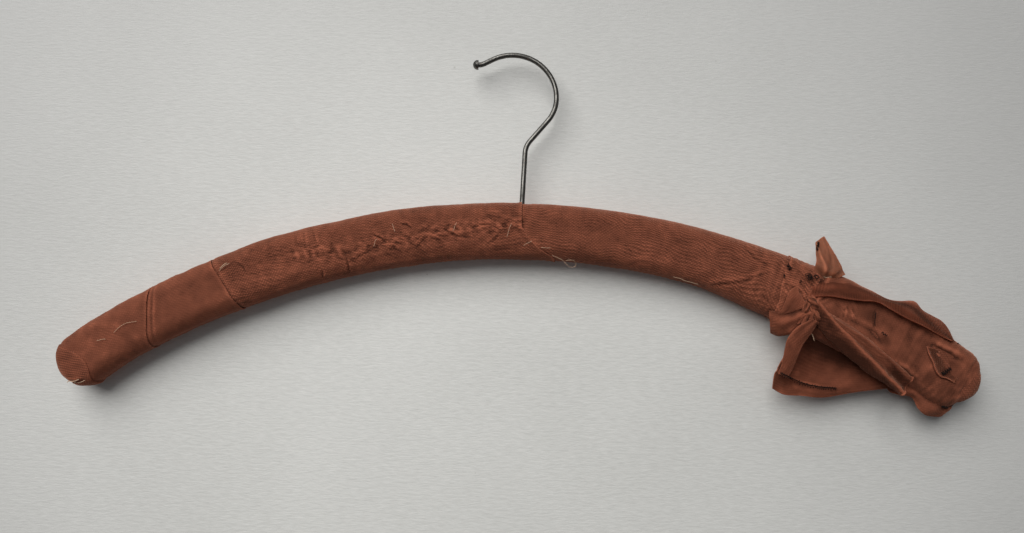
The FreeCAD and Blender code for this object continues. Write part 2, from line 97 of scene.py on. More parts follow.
def smooth(low, high, value):
    """0 below low, 1 above high, and a smooth rise between; low may be above high."""
    t = np.clip((np.asarray(value, float) - low) / (high - low), 0, 1)
    return t * t * (3 - 2 * t)


def bump(value, centre, width):
    return np.exp(-((np.asarray(value, float) - centre) / width) ** 2)


def noise(u, v, seed):
    """Smooth value noise between -1 and 1 on a unit lattice."""
    table = np.random.default_rng(seed).uniform(-1, 1, (LATTICE, LATTICE))
    u, v = np.broadcast_arrays(np.asarray(u, float), np.asarray(v, float))
    column, row = np.floor(u).astype(int), np.floor(v).astype(int)
    fu, fv = smooth(0, 1, u - column), smooth(0, 1, v - row)
    corner = [[table[(column + a) % LATTICE, (row + b) % LATTICE] for b in (0, 1)] for a in (0, 1)]
    low = corner[0][0] * (1 - fu) + corner[1][0] * fu
    high = corner[0][1] * (1 - fu) + corner[1][1] * fu
    return low * (1 - fv) + high * fv


def layered(u, v, seed, octaves=3):
    """Noise with finer and fainter copies of itself."""
    total = sum(noise(u * 2 ** k, v * 2 ** k, seed + k) / 2 ** k for k in range(octaves))
    return total / 1.6


def ridged(u, v, seed, octaves=3):
    """Sharp crests between hollows, 0 to 1."""
    return 1 - np.abs(layered(u, v, seed, octaves)) * 2.2


def from_line(along, across, points):
    """Signed distance from a broken line: positive on its left, and the place along it, 0 to 1."""
    best = np.full(np.shape(along), 1e9)
    side = np.ones(np.shape(along))
    place = np.zeros(np.shape(along))
    count = len(points) - 1
    for index, ((x0, y0), (x1, y1)) in enumerate(zip(points, points[1:])):
        dx, dy = x1 - x0, y1 - y0
        t = np.clip(((along - x0) * dx + (across - y0) * dy) / (dx * dx + dy * dy), 0, 1)
        gap = np.hypot(along - x0 - t * dx, across - y0 - t * dy)
        nearer = gap < best
        best = np.where(nearer, gap, best)
        turn = np.sign(dx * (across - y0) - dy * (along - x0))
        side = np.where(nearer, turn, side)
        place = np.where(nearer, (index + t) / count, place)
    return best * side, place


def crease(along, across, points, depth, width, lip=0.6):
    """A furrow along a broken line with a soft lip on its upper side."""
    gap, place = from_line(along, across, points)
    fade = np.sqrt(np.clip(np.sin(np.pi * np.clip(place, 0.02, 0.98)), 0, 1))
    furrow = -depth * np.exp(-(gap / width) ** 2)
    raised = lip * depth * np.exp(-((np.abs(gap) - 1.9 * width) / (1.2 * width)) ** 2)
    return (furrow + raised * (gap > 0) + 0.4 * raised * (gap <= 0)) * fade


# ----- the bow's frame --------------------------------------------------------------------


def on_bow(along, across, proud):
    """World coordinates in millimetres of a place on the fabric."""
    angle = np.asarray(along, float) / BOW_RADIUS
    reach = BOW_RADIUS + np.asarray(across, float)
    x = SWIVEL + reach * np.sin(angle)
    z = ARC_CENTRE + reach * np.cos(angle)
    return np.stack(np.broadcast_arrays(x, -np.asarray(proud, float), z), axis=-1)


def past_end(along, across, proud):
    """As on_bow, but straight on past the centre of a round end."""
    along = np.asarray(along, float)
    held = np.clip(along, -END_ALONG, END_ALONG)
    angle = held / BOW_RADIUS
    beyond = along - held
    place = on_bow(held, across, proud)
    ahead = np.stack([np.cos(angle), np.zeros_like(angle), -np.sin(angle)], axis=-1)
    return place + ahead * beyond[..., None]


def section(half_height, half_depth, corner, share):
    """A rounded rectangle: across, proud, the outward normal and the place round its rim.

    A share of 0 is the middle of the front; it grows over the top to 0.5 at the back, and
    falls under the bottom to -0.5 there.
    """
    flat = half_height - corner
    top = 2 * (half_depth - corner)
    bend = corner * math.pi / 2
    total = 4 * flat + 2 * top + 4 * bend
    reach = np.abs(share) * total
    first = np.clip((reach - flat) / bend, 0, 1) * math.pi / 2
    second = np.clip((reach - flat - bend - top) / bend, 0, 1) * math.pi / 2
    turn = first + second
    level = np.clip(reach - flat - bend, 0, top)
    back = np.clip(reach - flat - 2 * bend - top, 0, flat)
    across = np.minimum(reach, flat) + corner * np.sin(turn) - back
    proud = (half_depth - corner) + corner * np.cos(turn) - level
    up = np.where(share >= 0, 1.0, -1.0)
    return across * up, proud, np.sin(turn) * up, np.cos(turn), share * total


def cap_size(along, grow):
    """Half height, half depth and corner of the section at a place along the bow."""
    height = COVER_HALF_HEIGHT + grow
    depth = COVER_HALF_DEPTH + grow
    corner = COVER_CORNER + min(grow, 0)
    beyond = np.clip(np.abs(along) - END_ALONG, 0, height)
    half = np.sqrt(np.maximum(height ** 2 - beyond ** 2, 1e-6))
    into = np.maximum(beyond - (height - corner), 0)
    thick = depth - corner + np.sqrt(np.maximum(corner ** 2 - into ** 2, 1e-6))
    return half, thick, np.minimum(corner, 0.98 * np.minimum(half, thick))


# ----- mesh making ------------------------------------------------------------------------


def add_mesh(name, points, faces, knit, relief_shade=None, body="bow"):
    """A mesh from points in millimetres, with its knit coordinates as a UV map.

    relief is kept as an attribute: painted shade in hollows and painted highlights on crests
    and curled edges, which the materials mix into the colour.
    """
    mesh = bpy.data.meshes.new(name)
    mesh.from_pydata((np.asarray(points) * MM).tolist(), [], faces)
    mesh.validate()
    layer = mesh.uv_layers.new(name="knit")
    corners = np.empty(len(mesh.loops), int)
    mesh.loops.foreach_get("vertex_index", corners)
    layer.data.foreach_set("uv", np.asarray(knit, float)[corners].ravel())
    if relief_shade is not None:
        mesh.attributes.new("relief_shade", "FLOAT", "POINT").data.foreach_set("value", relief_shade)
    piece = bpy.data.objects.new(name, mesh)
    bpy.context.scene.collection.objects.link(piece)
    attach(piece, body)
    return piece


def tidy(piece):
    """Weld points that meet, turn every face outwards and shade smoothly."""
    work = bmesh.new()
    work.from_mesh(piece.data)
    bmesh.ops.remove_doubles(work, verts=work.verts, dist=WELD * MM)
    bmesh.ops.dissolve_degenerate(work, edges=work.edges, dist=0.001 * MM)
    loose = [edge for edge in work.edges if not edge.link_faces]
    bmesh.ops.delete(work, geom=loose, context="EDGES")
    bmesh.ops.recalc_face_normals(work, faces=work.faces)
    work.to_mesh(piece.data)
    work.free()
    piece.data.shade_smooth()
    return piece


def grid_faces(rows, columns, start=0, flip=False, skip=()):
    """Quads between the neighbours of a grid of points."""
    faces = []
    for i in range(rows - 1):
        for j in range(columns - 1):
            if (i, j) in skip:
                continue
            first = start + i * columns + j
            quad = [first, first + 1, first + columns + 1, first + columns]
            faces.append(quad[::-1] if flip else quad)
    return faces


def shell(name, outer, inner, knit, relief_shade, rims, skip=()):
    """A skin between two grids of the same size, closed along the rims named."""
    rows, columns = outer.shape[:2]
    count = rows * columns
    faces = grid_faces(rows, columns, 0, True, skip)
    faces += grid_faces(rows, columns, count, False, skip)

    def wall(a, b):
        faces.append([a, b, b + count, a + count])

    last = (rows - 1) * columns
    for j in range(columns - 1):
        if "start" in rims:
            wall(j, j + 1)
        if "end" in rims:
            wall(last + j + 1, last + j)
    for i in range(rows - 1 if "sides" in rims else 0):
        wall((i + 1) * columns, i * columns)
        wall(i * columns + columns - 1, (i + 1) * columns + columns - 1)
    for i, j in skip:
        spot = i * columns + j
        below, right = spot + columns, spot + 1
        sides = {(i - 1, j): (spot, right), (i + 1, j): (below + 1, below),
                 (i, j - 1): (below, spot), (i, j + 1): (right, below + 1)}
        for neighbour, (a, b) in sides.items():
            if neighbour not in skip:
                wall(b, a)
    points = np.concatenate([outer.reshape(-1, 3), inner.reshape(-1, 3)])
    places = np.concatenate([knit.reshape(-1, 2)] * 2)
    return tidy(add_mesh(name, points, faces, places, np.tile(relief_shade.ravel(), 2)))


def sleeve(name, start, end, grow, swell, ends=(0.0, 0.0), mould=None, hole=0.0, step=STEP):
    """A sleeve of fabric round the bow.

    start and end give where it begins and ends, along the bow, for each height across it.
    swell gives how far the fabric stands out, from (along, across, proud).  ends are the
    height of a turned hem at each end, or below zero the depth by which it is tucked under
    its neighbour.  mould may then move whole places, and hole opens the top for the shank.
    """
    height = COVER_HALF_HEIGHT + grow
    tips = [float(edge(np.array(0.0))) for edge in (start, end)]
    rows = max(int(abs(tips[1] - tips[0]) / step), 4) + 1
    columns = int(GIRTH / step) // 2 * 2 + 1
    share = np.linspace(-0.5, 0.5, columns)[None, :]
    part = np.linspace(0, 1, rows)[:, None]
    middle = tips[0] + (tips[1] - tips[0]) * part
    across = section(*cap_size(middle, grow), share)[0]
    along = start(across) * (1 - part) + end(across) * part
    across, proud, rise, front, around = section(*cap_size(along, grow), share)
    closing = np.clip((np.abs(along) - END_ALONG) / height, 0, 1)
    ahead = np.sign(along) * closing ** 3
    flat = np.sqrt(1 - closing ** 6)
    out = swell(along, across, proud)
    # Painted highlight along the rims of turned hems, added to the painted shade and highlights of the
    # hollows below.
    painted_light = np.zeros_like(out)
    for rim, size, inward in ((start, ends[0], 1), (end, ends[1], -1)):
        inside = (along - rim(across)) * inward
        out = out + size * (smooth(2.4, 0.3, inside) if size > 0 else smooth(5.2, 3.3, inside))
        painted_light = painted_light + (0.5 * np.exp(-inside / 0.7) if size > 0 else 0)
    skins = []
    for depth in (out, out - CLOTH):
        place = (along + ahead * depth, across + rise * flat * depth, proud + front * flat * depth)
        skins.append(past_end(*(mould(*place) if mould else place)))
    rims = {edge for edge, tip in zip(("start", "end"), tips) if abs(tip) < END_ALONG + height - 0.1}
    skip = pierce(skins, hole) if hole else ()
    return shell(name, *skins, np.stack([along, around], axis=-1), hollows(out) + painted_light, rims, skip)


def hollows(out, reach=4):
    """Below zero where a surface dips under its surroundings, above zero on its crests."""
    padded = np.pad(out, reach, mode="edge")
    total = np.zeros_like(out)
    for a in range(2 * reach + 1):
        for b in range(2 * reach + 1):
            total += padded[a:a + out.shape[0], b:b + out.shape[1]]
    return np.clip((out - total / (2 * reach + 1) ** 2) / 0.5, -1, 1)


def pierce(skins, radius):
    """Open a round hole about the swivel axis in the top of a sleeve; returns its quads."""
    middle = np.array([SWIVEL, 0.0])
    for grid in skins:
        gap = grid[..., :2] - middle
        away = np.maximum(np.linalg.norm(gap, axis=-1), 1e-6)
        pushed = away + radius * np.exp(-(away / radius) ** 1.5)
        top = (grid[..., 2] > ARC_CENTRE + BOW_RADIUS) & (away < 5 * radius)
        scale = np.where(top, pushed / away, 1.0)
        grid[..., :2] = middle + gap * scale[..., None]
    outer = skins[0]
    centres = (outer[:-1, :-1] + outer[1:, 1:]) / 2
    away = np.linalg.norm(centres[..., :2] - middle, axis=-1)
    inside = (away < radius) & (centres[..., 2] > ARC_CENTRE + BOW_RADIUS)
    return {(int(i), int(j)) for i, j in zip(*np.nonzero(inside))}


def spline(points, share):
    """A smooth line through a list of points, at shares 0 to 1 (Catmull-Rom)."""
    points = np.asarray(points, float)
    last = len(points) - 1
    place = np.clip(np.asarray(share, float) * last, 0, last - 1e-9)
    index = place.astype(int)
    t = (place - index).reshape(-1, *[1] * (points.ndim - 1))
    before = points[np.maximum(index - 1, 0)]
    here, after = points[index], points[index + 1]
    beyond = points[np.minimum(index + 2, last)]
    return 0.5 * (2 * here + (after - before) * t
                  + (2 * before - 5 * here + 4 * after - beyond) * t ** 2
                  + (3 * here - before - 3 * after + beyond) * t ** 3)


def patch(rails, rows, columns):
    """A smooth surface through rails, each a list of (along, across, proud) points."""
    lines = np.stack([spline(rail, np.linspace(0, 1, columns)) for rail in rails])
    return spline(lines, np.linspace(0, 1, rows))


def normals(grid):
    """Unit normals of a grid of points, turned towards the front on the whole."""
    out = np.cross(np.gradient(grid, axis=0), np.gradient(grid, axis=1))
    out /= np.maximum(np.linalg.norm(out, axis=-1, keepdims=True), 1e-9)
    return -out if out[..., 1].mean() > 0 else out


def sheet(name, rails, detail=None, curl=0.7, painted_shading=None, step=STEP):
    """A loose sheet of fabric through rails; detail pushes folds out along its normal.

    detail takes the place down the rails and the place along them, both 0 to 1.  curl is how
    much the cloth thickens where its edges curl up, and how much lighter those edges are painted,
    a painted highlight.  The function after curl, from the same two places, gives painted shade
    from 0 to 1 and a painted highlight below 0.
    """
    rough = on_bow(*np.moveaxis(patch(rails, 24, 24), -1, 0))
    length = np.linalg.norm(np.diff(rough, axis=0), axis=-1).sum(axis=0).max()
    width = np.linalg.norm(np.diff(rough, axis=1), axis=-1).sum(axis=1).max()
    rows, columns = max(int(length / step), 8), max(int(width / step), 8)
    middle = on_bow(*np.moveaxis(patch(rails, rows, columns), -1, 0))
    down, over = np.meshgrid(np.linspace(0, 1, rows), np.linspace(0, 1, columns), indexing="ij")
    fold = detail(down, over) if detail else np.zeros_like(down)
    middle = middle + normals(middle) * fold[..., None]
    inside = np.minimum(np.minimum(down, 1 - down) * length, np.minimum(over, 1 - over) * width)
    half = normals(middle) * (CLOTH / 2 * (1 + curl * np.exp(-(inside / 0.8) ** 2)))[..., None]
    knit = np.stack([over * width, down * length], axis=-1)
    # Painted shade in the hollows of the folds, painted highlights on their crests and along the curled
    # edges, and the painted shade given.
    relief_shade = hollows(fold) + curl * np.exp(-inside / 0.7) - (painted_shading(down, over) if painted_shading else 0)
    return shell(name, middle + half, middle - half, knit, relief_shade, ("start", "end", "sides"))


def tube(points, radius, sides=7):
    """Points and faces of a round thread along a smooth line, tapered at both ends."""
    points = np.asarray(points, float)
    length = np.linalg.norm(np.diff(points, axis=0), axis=-1).sum()
    count = max(int(length / (radius * 1.5)), 8)
    line = spline(points, np.linspace(0, 1, count))
    ahead = np.gradient(line, axis=0)
    ahead /= np.maximum(np.linalg.norm(ahead, axis=-1, keepdims=True), 1e-9)
    side = np.cross(ahead, np.array([0.13, 1.0, 0.21]))
    side /= np.maximum(np.linalg.norm(side, axis=-1, keepdims=True), 1e-9)
    other = np.cross(ahead, side)
    turn = (np.arange(sides) / sides * 2 * math.pi)[None, :, None]
    from_end = np.minimum(np.arange(count), np.arange(count)[::-1])
    size = radius * (1 - 0.6 * np.exp(-from_end / 1.2))
    ring = side[:, None] * np.cos(turn) + other[:, None] * np.sin(turn)
    grid = line[:, None] + ring * size[:, None, None]
    faces = []
    for i in range(count - 1):
        for j in range(sides):
            k = (j + 1) % sides
            faces.append([i * sides + j, i * sides + k, (i + 1) * sides + k, (i + 1) * sides + j])
    faces.append(list(range(sides)))
    faces.append([(count - 1) * sides + j for j in range(sides)])
    lengthwise = np.repeat(np.linspace(0, length, count), sides)
    knit = np.stack([lengthwise, np.tile(turn.ravel(), count)], axis=-1)
    return grid.reshape(-1, 3), faces, knit


def threads(name, lines, radius):
    """One piece holding several threads, each a list of (along, across, proud) points."""
    points, faces, knit = [], [], []
    total = 0
    for line in lines:
        made, made_faces, made_knit = tube(on_bow(*np.moveaxis(np.asarray(line, float), -1, 0)), radius)
        points.append(made)
        knit.append(made_knit)
        faces += [[total + index for index in face] for face in made_faces]
        total += len(made)
    return tidy(add_mesh(name, np.concatenate(points), faces, np.concatenate(knit)))


def overlock(points, pitch, half_width, seed):
    """The looped zigzag of an overlocked seam along a line of (along, across, proud)."""
    length = np.linalg.norm(np.diff(np.asarray(points, float), axis=0), axis=-1).sum()
    count = max(int(length / pitch), 2) * 2
    place = spline(points, np.linspace(0, 1, count))
    ahead = np.gradient(place, axis=0)
    ahead /= np.maximum(np.linalg.norm(ahead, axis=-1, keepdims=True), 1e-9)
    aside = np.stack([-ahead[:, 1], ahead[:, 0], np.zeros(count)], axis=-1)
    rng = np.random.default_rng(seed)
    swing = np.where(np.arange(count) % 2, 1, -1) * half_width * rng.uniform(0.65, 1.2, count)
    place = place + aside * swing[:, None]
    place[:, 2] += rng.uniform(0.0, 0.35, count)
    return place


def edge_at(*points):
    """An oblique edge through (along, across) points, as a function of the height across."""
    points = sorted(points, key=lambda point: point[1])
    heights = [point[1] for point in points]
    places = [point[0] for point in points]
    return lambda across: np.interp(across, heights, places)


def straight(place):
    return lambda across: np.full(np.shape(across), float(place))


def join(name, pieces):
    """Make several meshes into one piece."""
    work = bmesh.new()
    for piece in pieces:
        work.from_mesh(piece.data)
    whole = pieces[0]
    work.to_mesh(whole.data)
    work.free()
    for piece in pieces[1:]:
        bpy.data.objects.remove(piece, do_unlink=True)
    whole.name = name
    whole.data.name = name
    whole.data.shade_smooth()
    return whole


# ----- materials --------------------------------------------------------------------------


def add(tree, kind, settings=None, **inputs):
    """A node with some settings and inputs; an input may be a value or another socket.

    An input goes by its name, with underscores for spaces, or by i and its number.
    """
    node = tree.nodes.new("ShaderNode" + kind)
    for key, value in (settings or {}).items():
        setattr(node, key, value)
    for key, value in inputs.items():
        numbered = key[0] == "i" and key[1:].isdigit()
        slot = node.inputs[int(key[1:]) if numbered else key.replace("_", " ")]
        if isinstance(value, bpy.types.NodeSocket):
            tree.links.new(value, slot)
        else:
            slot.default_value = value
    return node


def math_node(tree, operation, first, second=0.0, third=0.0):
    return add(tree, "Math", {"operation": operation}, i0=first, i1=second, i2=third).outputs[0]


def scaled(tree, value, factor, offset=0.0):
    """A value times a factor plus an offset; each may be a number or a socket."""
    return math_node(tree, "MULTIPLY_ADD", value, factor, offset)


def rising(tree, value, low, high, top=1.0, interpolation="LINEAR"):
    """0 where a value is at low or past it, top where it is at high, and a rise between."""
    return add(tree, "MapRange", {"interpolation_type": interpolation}, Value=value,
               From_Min=low, From_Max=high, To_Max=top).outputs[0]


def covered(tree, share, tone, colour):
    """A tone with a share of a plain colour over it."""
    return add(tree, "Mix", {"data_type": "RGBA"}, i0=share, i6=tone, i7=(*colour, 1)).outputs[2]


def stretched(tree, place, factors):
    return add(tree, "VectorMath", {"operation": "MULTIPLY"}, i0=place, i1=factors).outputs[0]


def distance(tree, place, middle):
    return add(tree, "VectorMath", {"operation": "DISTANCE"}, i0=place, i1=middle).outputs["Value"]


def bump_normal(tree, height, strength, reach):
    """The surface's normal, disturbed by a height that counts for reach millimetres."""
    return add(tree, "Bump", None, Height=height, Strength=strength, Distance=reach * MM).outputs[0]


def knit_place(tree):
    """The two knit coordinates of a piece, in millimetres."""
    place = add(tree, "UVMap", {"uv_map": "knit"}).outputs[0]
    split = add(tree, "SeparateXYZ", None, Vector=place)
    return split.outputs["X"], split.outputs["Y"]


def new_material(name):
    material = bpy.data.materials.new(name)
    material.use_nodes = True
    material.node_tree.nodes.clear()
    return material, material.node_tree


def millimetres(tree):
    """Object coordinates in millimetres."""
    place = add(tree, "TexCoord").outputs["Object"]
    return add(tree, "VectorMath", {"operation": "SCALE"}, i0=place, Scale=1 / MM).outputs[0]


def mottle(tree, place, size, detail=3.0, roughness=0.55):
    """Noise with features of about the given size."""
    return add(tree, "TexNoise", None, Vector=place, Scale=1 / size, Detail=detail,
               Roughness=roughness).outputs["Fac"]


def lines(tree, u, v, angle, period, wobble, sway):
    """Fine parallel lines at an angle to the bow, wobbling by a noise."""
    slant = math_node(tree, "MULTIPLY", u, math.sin(angle))
    slant = scaled(tree, v, math.cos(angle), slant)
    slant = scaled(tree, wobble, sway, slant)
    wave = math_node(tree, "SINE", math_node(tree, "MULTIPLY", slant, 2 * math.pi / period))
    return scaled(tree, wave, 0.5, 0.5)


def ramp(tree, value, stops):
    """A colour ramp through (place, colour) stops."""
    node = add(tree, "ValToRGB", None, Fac=value)
    band = node.color_ramp
    while len(band.elements) < len(stops):
        band.elements.new(0.5)
    for element, (place, colour) in zip(band.elements, stops):
        element.position = place
        element.color = (*colour, 1)
    return node.outputs["Color"]


def tinted(colour, factor):
    return tuple(min(channel * factor, 1) for channel in colour)


def knit_material(name, colour, patterns, sheer=0.0, grain=1.0, stains_and_shade=()):
    """Knitted nylon stocking.

    patterns are (angle, period in mm, sway in mm, strength) sets of lines; sheer is how much
    light the cloth lets through; grain is how clearly its stitches show; and the last is a list
    of (along, across, radius, strength) darkened spots, some stains and some painted shade.
    """
    material, tree = new_material(name)
    place = millimetres(tree)
    u, v = knit_place(tree)
    broad = mottle(tree, place, 16.0)
    patchy = mottle(tree, place, 5.0, 4.0)
    speckle = mottle(tree, place, 0.6, 3.0, 0.8)
    sway = mottle(tree, place, 12.0, 0.6)
    total = scaled(tree, broad, 0.55, -0.32)
    total = scaled(tree, patchy, 0.45, total)
    total = scaled(tree, math_node(tree, "SUBTRACT", speckle, 0.5), 0.72 * grain, total)
    total = math_node(tree, "ADD", total, 0.36)
    height = math_node(tree, "MULTIPLY", speckle, 0.9 * grain)
    for index, (angle, period, shift, strength) in enumerate(patterns):
        mask = mottle(tree, place, 13.0 + 3 * index, 1.0)
        mask = rising(tree, mask, 0.30, 0.56)
        line = lines(tree, u, v, angle, period, sway, shift)
        shown = math_node(tree, "MULTIPLY", math_node(tree, "SUBTRACT", line, 0.5), mask)
        total = scaled(tree, shown, strength, total)
        height = scaled(tree, shown, 2.5 * strength, height)
    fine = lines(tree, u, v, 0.55, 1.05, sway, 3.0)
    cross = lines(tree, u, v, -0.70, 0.95, sway, 2.5)
    stitches = math_node(tree, "MULTIPLY", fine, cross)
    height = scaled(tree, stitches, 0.8 * grain, height)
    raised = math_node(tree, "SUBTRACT", stitches, 0.25)
    total = scaled(tree, raised, 0.24 * grain, total)
    # Painted shade in the hollows and painted highlights on the crests and rims, read from the mesh's
    # attribute.
    relief_shade = add(tree, "Attribute", {"attribute_name": "relief_shade"}).outputs["Fac"]
    total = scaled(tree, relief_shade, 0.42, total)
    tone = ramp(tree, total, [(0.12, tinted(colour, 0.30)), (0.42, tinted(colour, 0.78)),
                              (0.62, colour), (1.0, tinted(colour, 1.9))])
    # Darkened spots, some of them stains and some painted shade.
    for along, across, radius, strength in stains_and_shade:
        middle = tuple(on_bow(along, across, COVER_HALF_DEPTH))
        gap = distance(tree, place, middle)
        gap = scaled(tree, patchy, radius * 1.2, gap)
        stain_and_shade_spot = rising(tree, gap, radius * 1.7, radius * 0.6, strength, "SMOOTHSTEP")
        tone = covered(tree, stain_and_shade_spot, tone, tinted(colour, 0.30))
    bumped = bump_normal(tree, height, 0.75, 0.28)
    roughness = scaled(tree, patchy, 0.12, 0.80)
    cloth = add(tree, "BsdfPrincipled", None, Base_Color=tone, Roughness=roughness, Normal=bumped,
                Sheen_Weight=0.50, Sheen_Roughness=0.4, Sheen_Tint=(0.95, 0.46, 0.31, 1),
                Specular_IOR_Level=0.12)
    out = cloth.outputs[0]
    if sheer > 0:
        glow = add(tree, "BsdfTranslucent", None, Color=ramp(tree, total, [
            (0.2, tinted(colour, 0.9)), (0.9, tinted(colour, 2.2))]), Normal=bumped).outputs[0]
        clear = add(tree, "BsdfTransparent", None, Color=(1, 0.86, 0.78, 1)).outputs[0]
        out = add(tree, "MixShader", None, Fac=0.55 * sheer, i1=out, i2=glow).outputs[0]
        gauze = math_node(tree, "MULTIPLY", stitches, 0.30 * sheer)
        gauze = math_node(tree, "ADD", gauze, 0.12 * sheer)
        out = add(tree, "MixShader", None, Fac=gauze, i1=out, i2=clear).outputs[0]
    add(tree, "OutputMaterial", None, Surface=out)
    return material


def thread_material(name, colour, rough=0.7):
    """Twisted sewing thread: fine slanting plies and uneven colour."""
    material, tree = new_material(name)
    place = millimetres(tree)
    u, v = knit_place(tree)
    uneven = mottle(tree, place, 1.2)
    slant = scaled(tree, u, 2 * math.pi / 0.45, v)
    ply = scaled(tree, math_node(tree, "SINE", slant), 0.5, 0.5)
    total = scaled(tree, ply, 0.35, math_node(tree, "MULTIPLY", uneven, 0.8))
    tone = ramp(tree, total, [(0.2, tinted(colour, 0.55)), (0.55, colour), (0.9, tinted(colour, 1.4))])
    bumped = bump_normal(tree, ply, 0.6, 0.06)
    cloth = add(tree, "BsdfPrincipled", None, Base_Color=tone, Roughness=rough, Normal=bumped,
                Specular_IOR_Level=0.1)
    add(tree, "OutputMaterial", None, Surface=cloth.outputs[0])
    return material


def steel_material(name, colour, rust, along_z=True):
    """Drawn steel with fine lengthwise scratches, dark oxide patches and a little rust."""
    material, tree = new_material(name)
    place = millimetres(tree)
    squash = (1.0, 1.0, 0.12) if along_z else (1.0, 1.0, 1.0)
    drawn = stretched(tree, place, squash)
    scratch = mottle(tree, drawn, 0.35, 3.0)
    patchy = mottle(tree, place, 4.5, 5.0, 0.65)
    spots = mottle(tree, place, 1.1, 3.0, 0.6)
    oxide = rising(tree, patchy, 0.42, 0.62)
    tone = ramp(tree, scratch, [(0.3, tinted(colour, 0.7)), (0.6, colour), (0.85, tinted(colour, 1.5))])
    tone = covered(tree, math_node(tree, "MULTIPLY", oxide, 0.55), tone, tinted(colour, 0.28))
    brown = rising(tree, spots, 0.60, 0.72, rust)
    tone = covered(tree, brown, tone, (0.13, 0.055, 0.025))
    rough = scaled(tree, oxide, 0.22, 0.24)
    rough = scaled(tree, scratch, 0.12, rough)
    bumped = bump_normal(tree, scratch, 0.35, 0.03)
    metal = math_node(tree, "SUBTRACT", 1.0, brown)
    steel = add(tree, "BsdfPrincipled", None, Base_Color=tone, Metallic=metal, Roughness=rough,
                Normal=bumped)
    add(tree, "OutputMaterial", None, Surface=steel.outputs[0])
    return material


def wood_material(name):
    """Turned beech: long grain with short dark flecks under a thin old finish."""
    material, tree = new_material(name)
    place = millimetres(tree)
    grain = stretched(tree, place, (0.05, 1.0, 0.6))
    bands = mottle(tree, grain, 1.6, 4.0)
    flecks = mottle(tree, stretched(tree, place, (0.35, 2.2, 1.6)), 0.9, 2.0)
    tone = ramp(tree, bands, [(0.3, (0.28, 0.15, 0.07)), (0.55, (0.44, 0.26, 0.13)),
                              (0.8, (0.55, 0.36, 0.20))])
    dark = rising(tree, flecks, 0.62, 0.70, 0.6)
    tone = covered(tree, dark, tone, (0.16, 0.08, 0.04))
    rough = scaled(tree, bands, 0.2, 0.42)
    bumped = bump_normal(tree, bands, 0.4, 0.1)
    wood = add(tree, "BsdfPrincipled", None, Base_Color=tone, Roughness=rough, Normal=bumped)
    add(tree, "OutputMaterial", None, Surface=wood.outputs[0])
    return material


def finish(piece, material, slot, *nodes):
    """Give a piece its material and hide the CAD nodes it stands for; slot is not used."""
    piece.data.materials.clear()
    piece.data.materials.append(material)
    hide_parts(*nodes)
    return piece


# ----- the fabric on the bow --------------------------------------------------------------

RUST = (0.226, 0.0705, 0.039)
SMOOTH_KNIT = knit_material("knit_smooth", tinted(RUST, 0.92), [(0.9, 1.3, 3.0, 0.10)], grain=0.5,
                            stains_and_shade=[(-194.0, -2.0, 6.0, 0.35)])
TIP_KNIT = knit_material("knit_tip", tinted(RUST, 0.90), [(0.75, 1.1, 2.0, 0.26)], grain=0.7)
CRUMPLED_KNIT = knit_material("knit_crumpled", tinted(RUST, 0.95),
                              [(0.10, 1.45, 9.0, 0.22), (0.62, 1.2, 6.0, 0.10)], grain=1.5,
                              stains_and_shade=[(-84.0, -6.0, 4.0, 0.35), (-13.0, -4.5, 3.5, 0.35)])
MOIRE_KNIT = knit_material("knit_moire", tinted(RUST, 0.95),
                           [(0.06, 1.35, 7.5, 0.32), (0.5, 1.2, 5.0, 0.10)], grain=1.3,
                           stains_and_shade=[(73.0, 3.0, 5.0, 0.6)])
# The cover's darkened spots after the first are painted shade: in the hollow at 180 mm, in the pit and the
# pocket's dish from 203 to 210 mm, on the down-turned tip at 206 and 218 mm, and along the crease above the
# low flap from 190 to 201 mm.
COVER_KNIT = knit_material("knit_cover", tinted(RUST, 0.88), [(1.5, 1.7, 2.5, 0.04)], grain=0.5,
                           stains_and_shade=[(169.0, 2.5, 7.0, 0.6), (210.0, 1.5, 5.5, 0.75), (180.0, -5.0, 4.0, 0.5),
                                 (218.0, -6.0, 9.0, 0.55), (206.0, -10.0, 8.0, 0.5), (203.0, 4.6, 2.4, 1.0),
                                 (207.5, 5.2, 2.6, 1.0), (190.0, -12.6, 2.4, 0.9), (195.0, -13.0, 3.0, 0.9),
                                 (201.0, -13.4, 3.0, 0.9)])
STRIP_KNIT = knit_material("knit_strip", tinted(RUST, 1.05), [(1.5, 1.3, 2.0, 0.22)], sheer=0.8, grain=0.4)
TIE_KNIT = knit_material("knit_tie", tinted(RUST, 0.92), [(0.35, 1.2, 3.0, 0.12)], sheer=0.35, grain=0.8)
POUCH_KNIT = knit_material("knit_pouch", tinted(RUST, 0.90), [(0.1, 1.5, 2.0, 0.10)], sheer=0.3, grain=0.4)
THIN_KNIT = knit_material("knit_thin", (0.34, 0.145, 0.085), [(1.2, 1.2, 2.0, 0.10)], sheer=0.9, grain=0.4)
LINING_KNIT = knit_material("knit_lining", tinted(RUST, 0.8), [(0.3, 1.6, 2.0, 0.2)])
DARK_THREAD = thread_material("thread_dark", (0.012, 0.008, 0.007), 0.9)
PALE_THREAD = thread_material("thread_pale", (0.62, 0.42, 0.29))

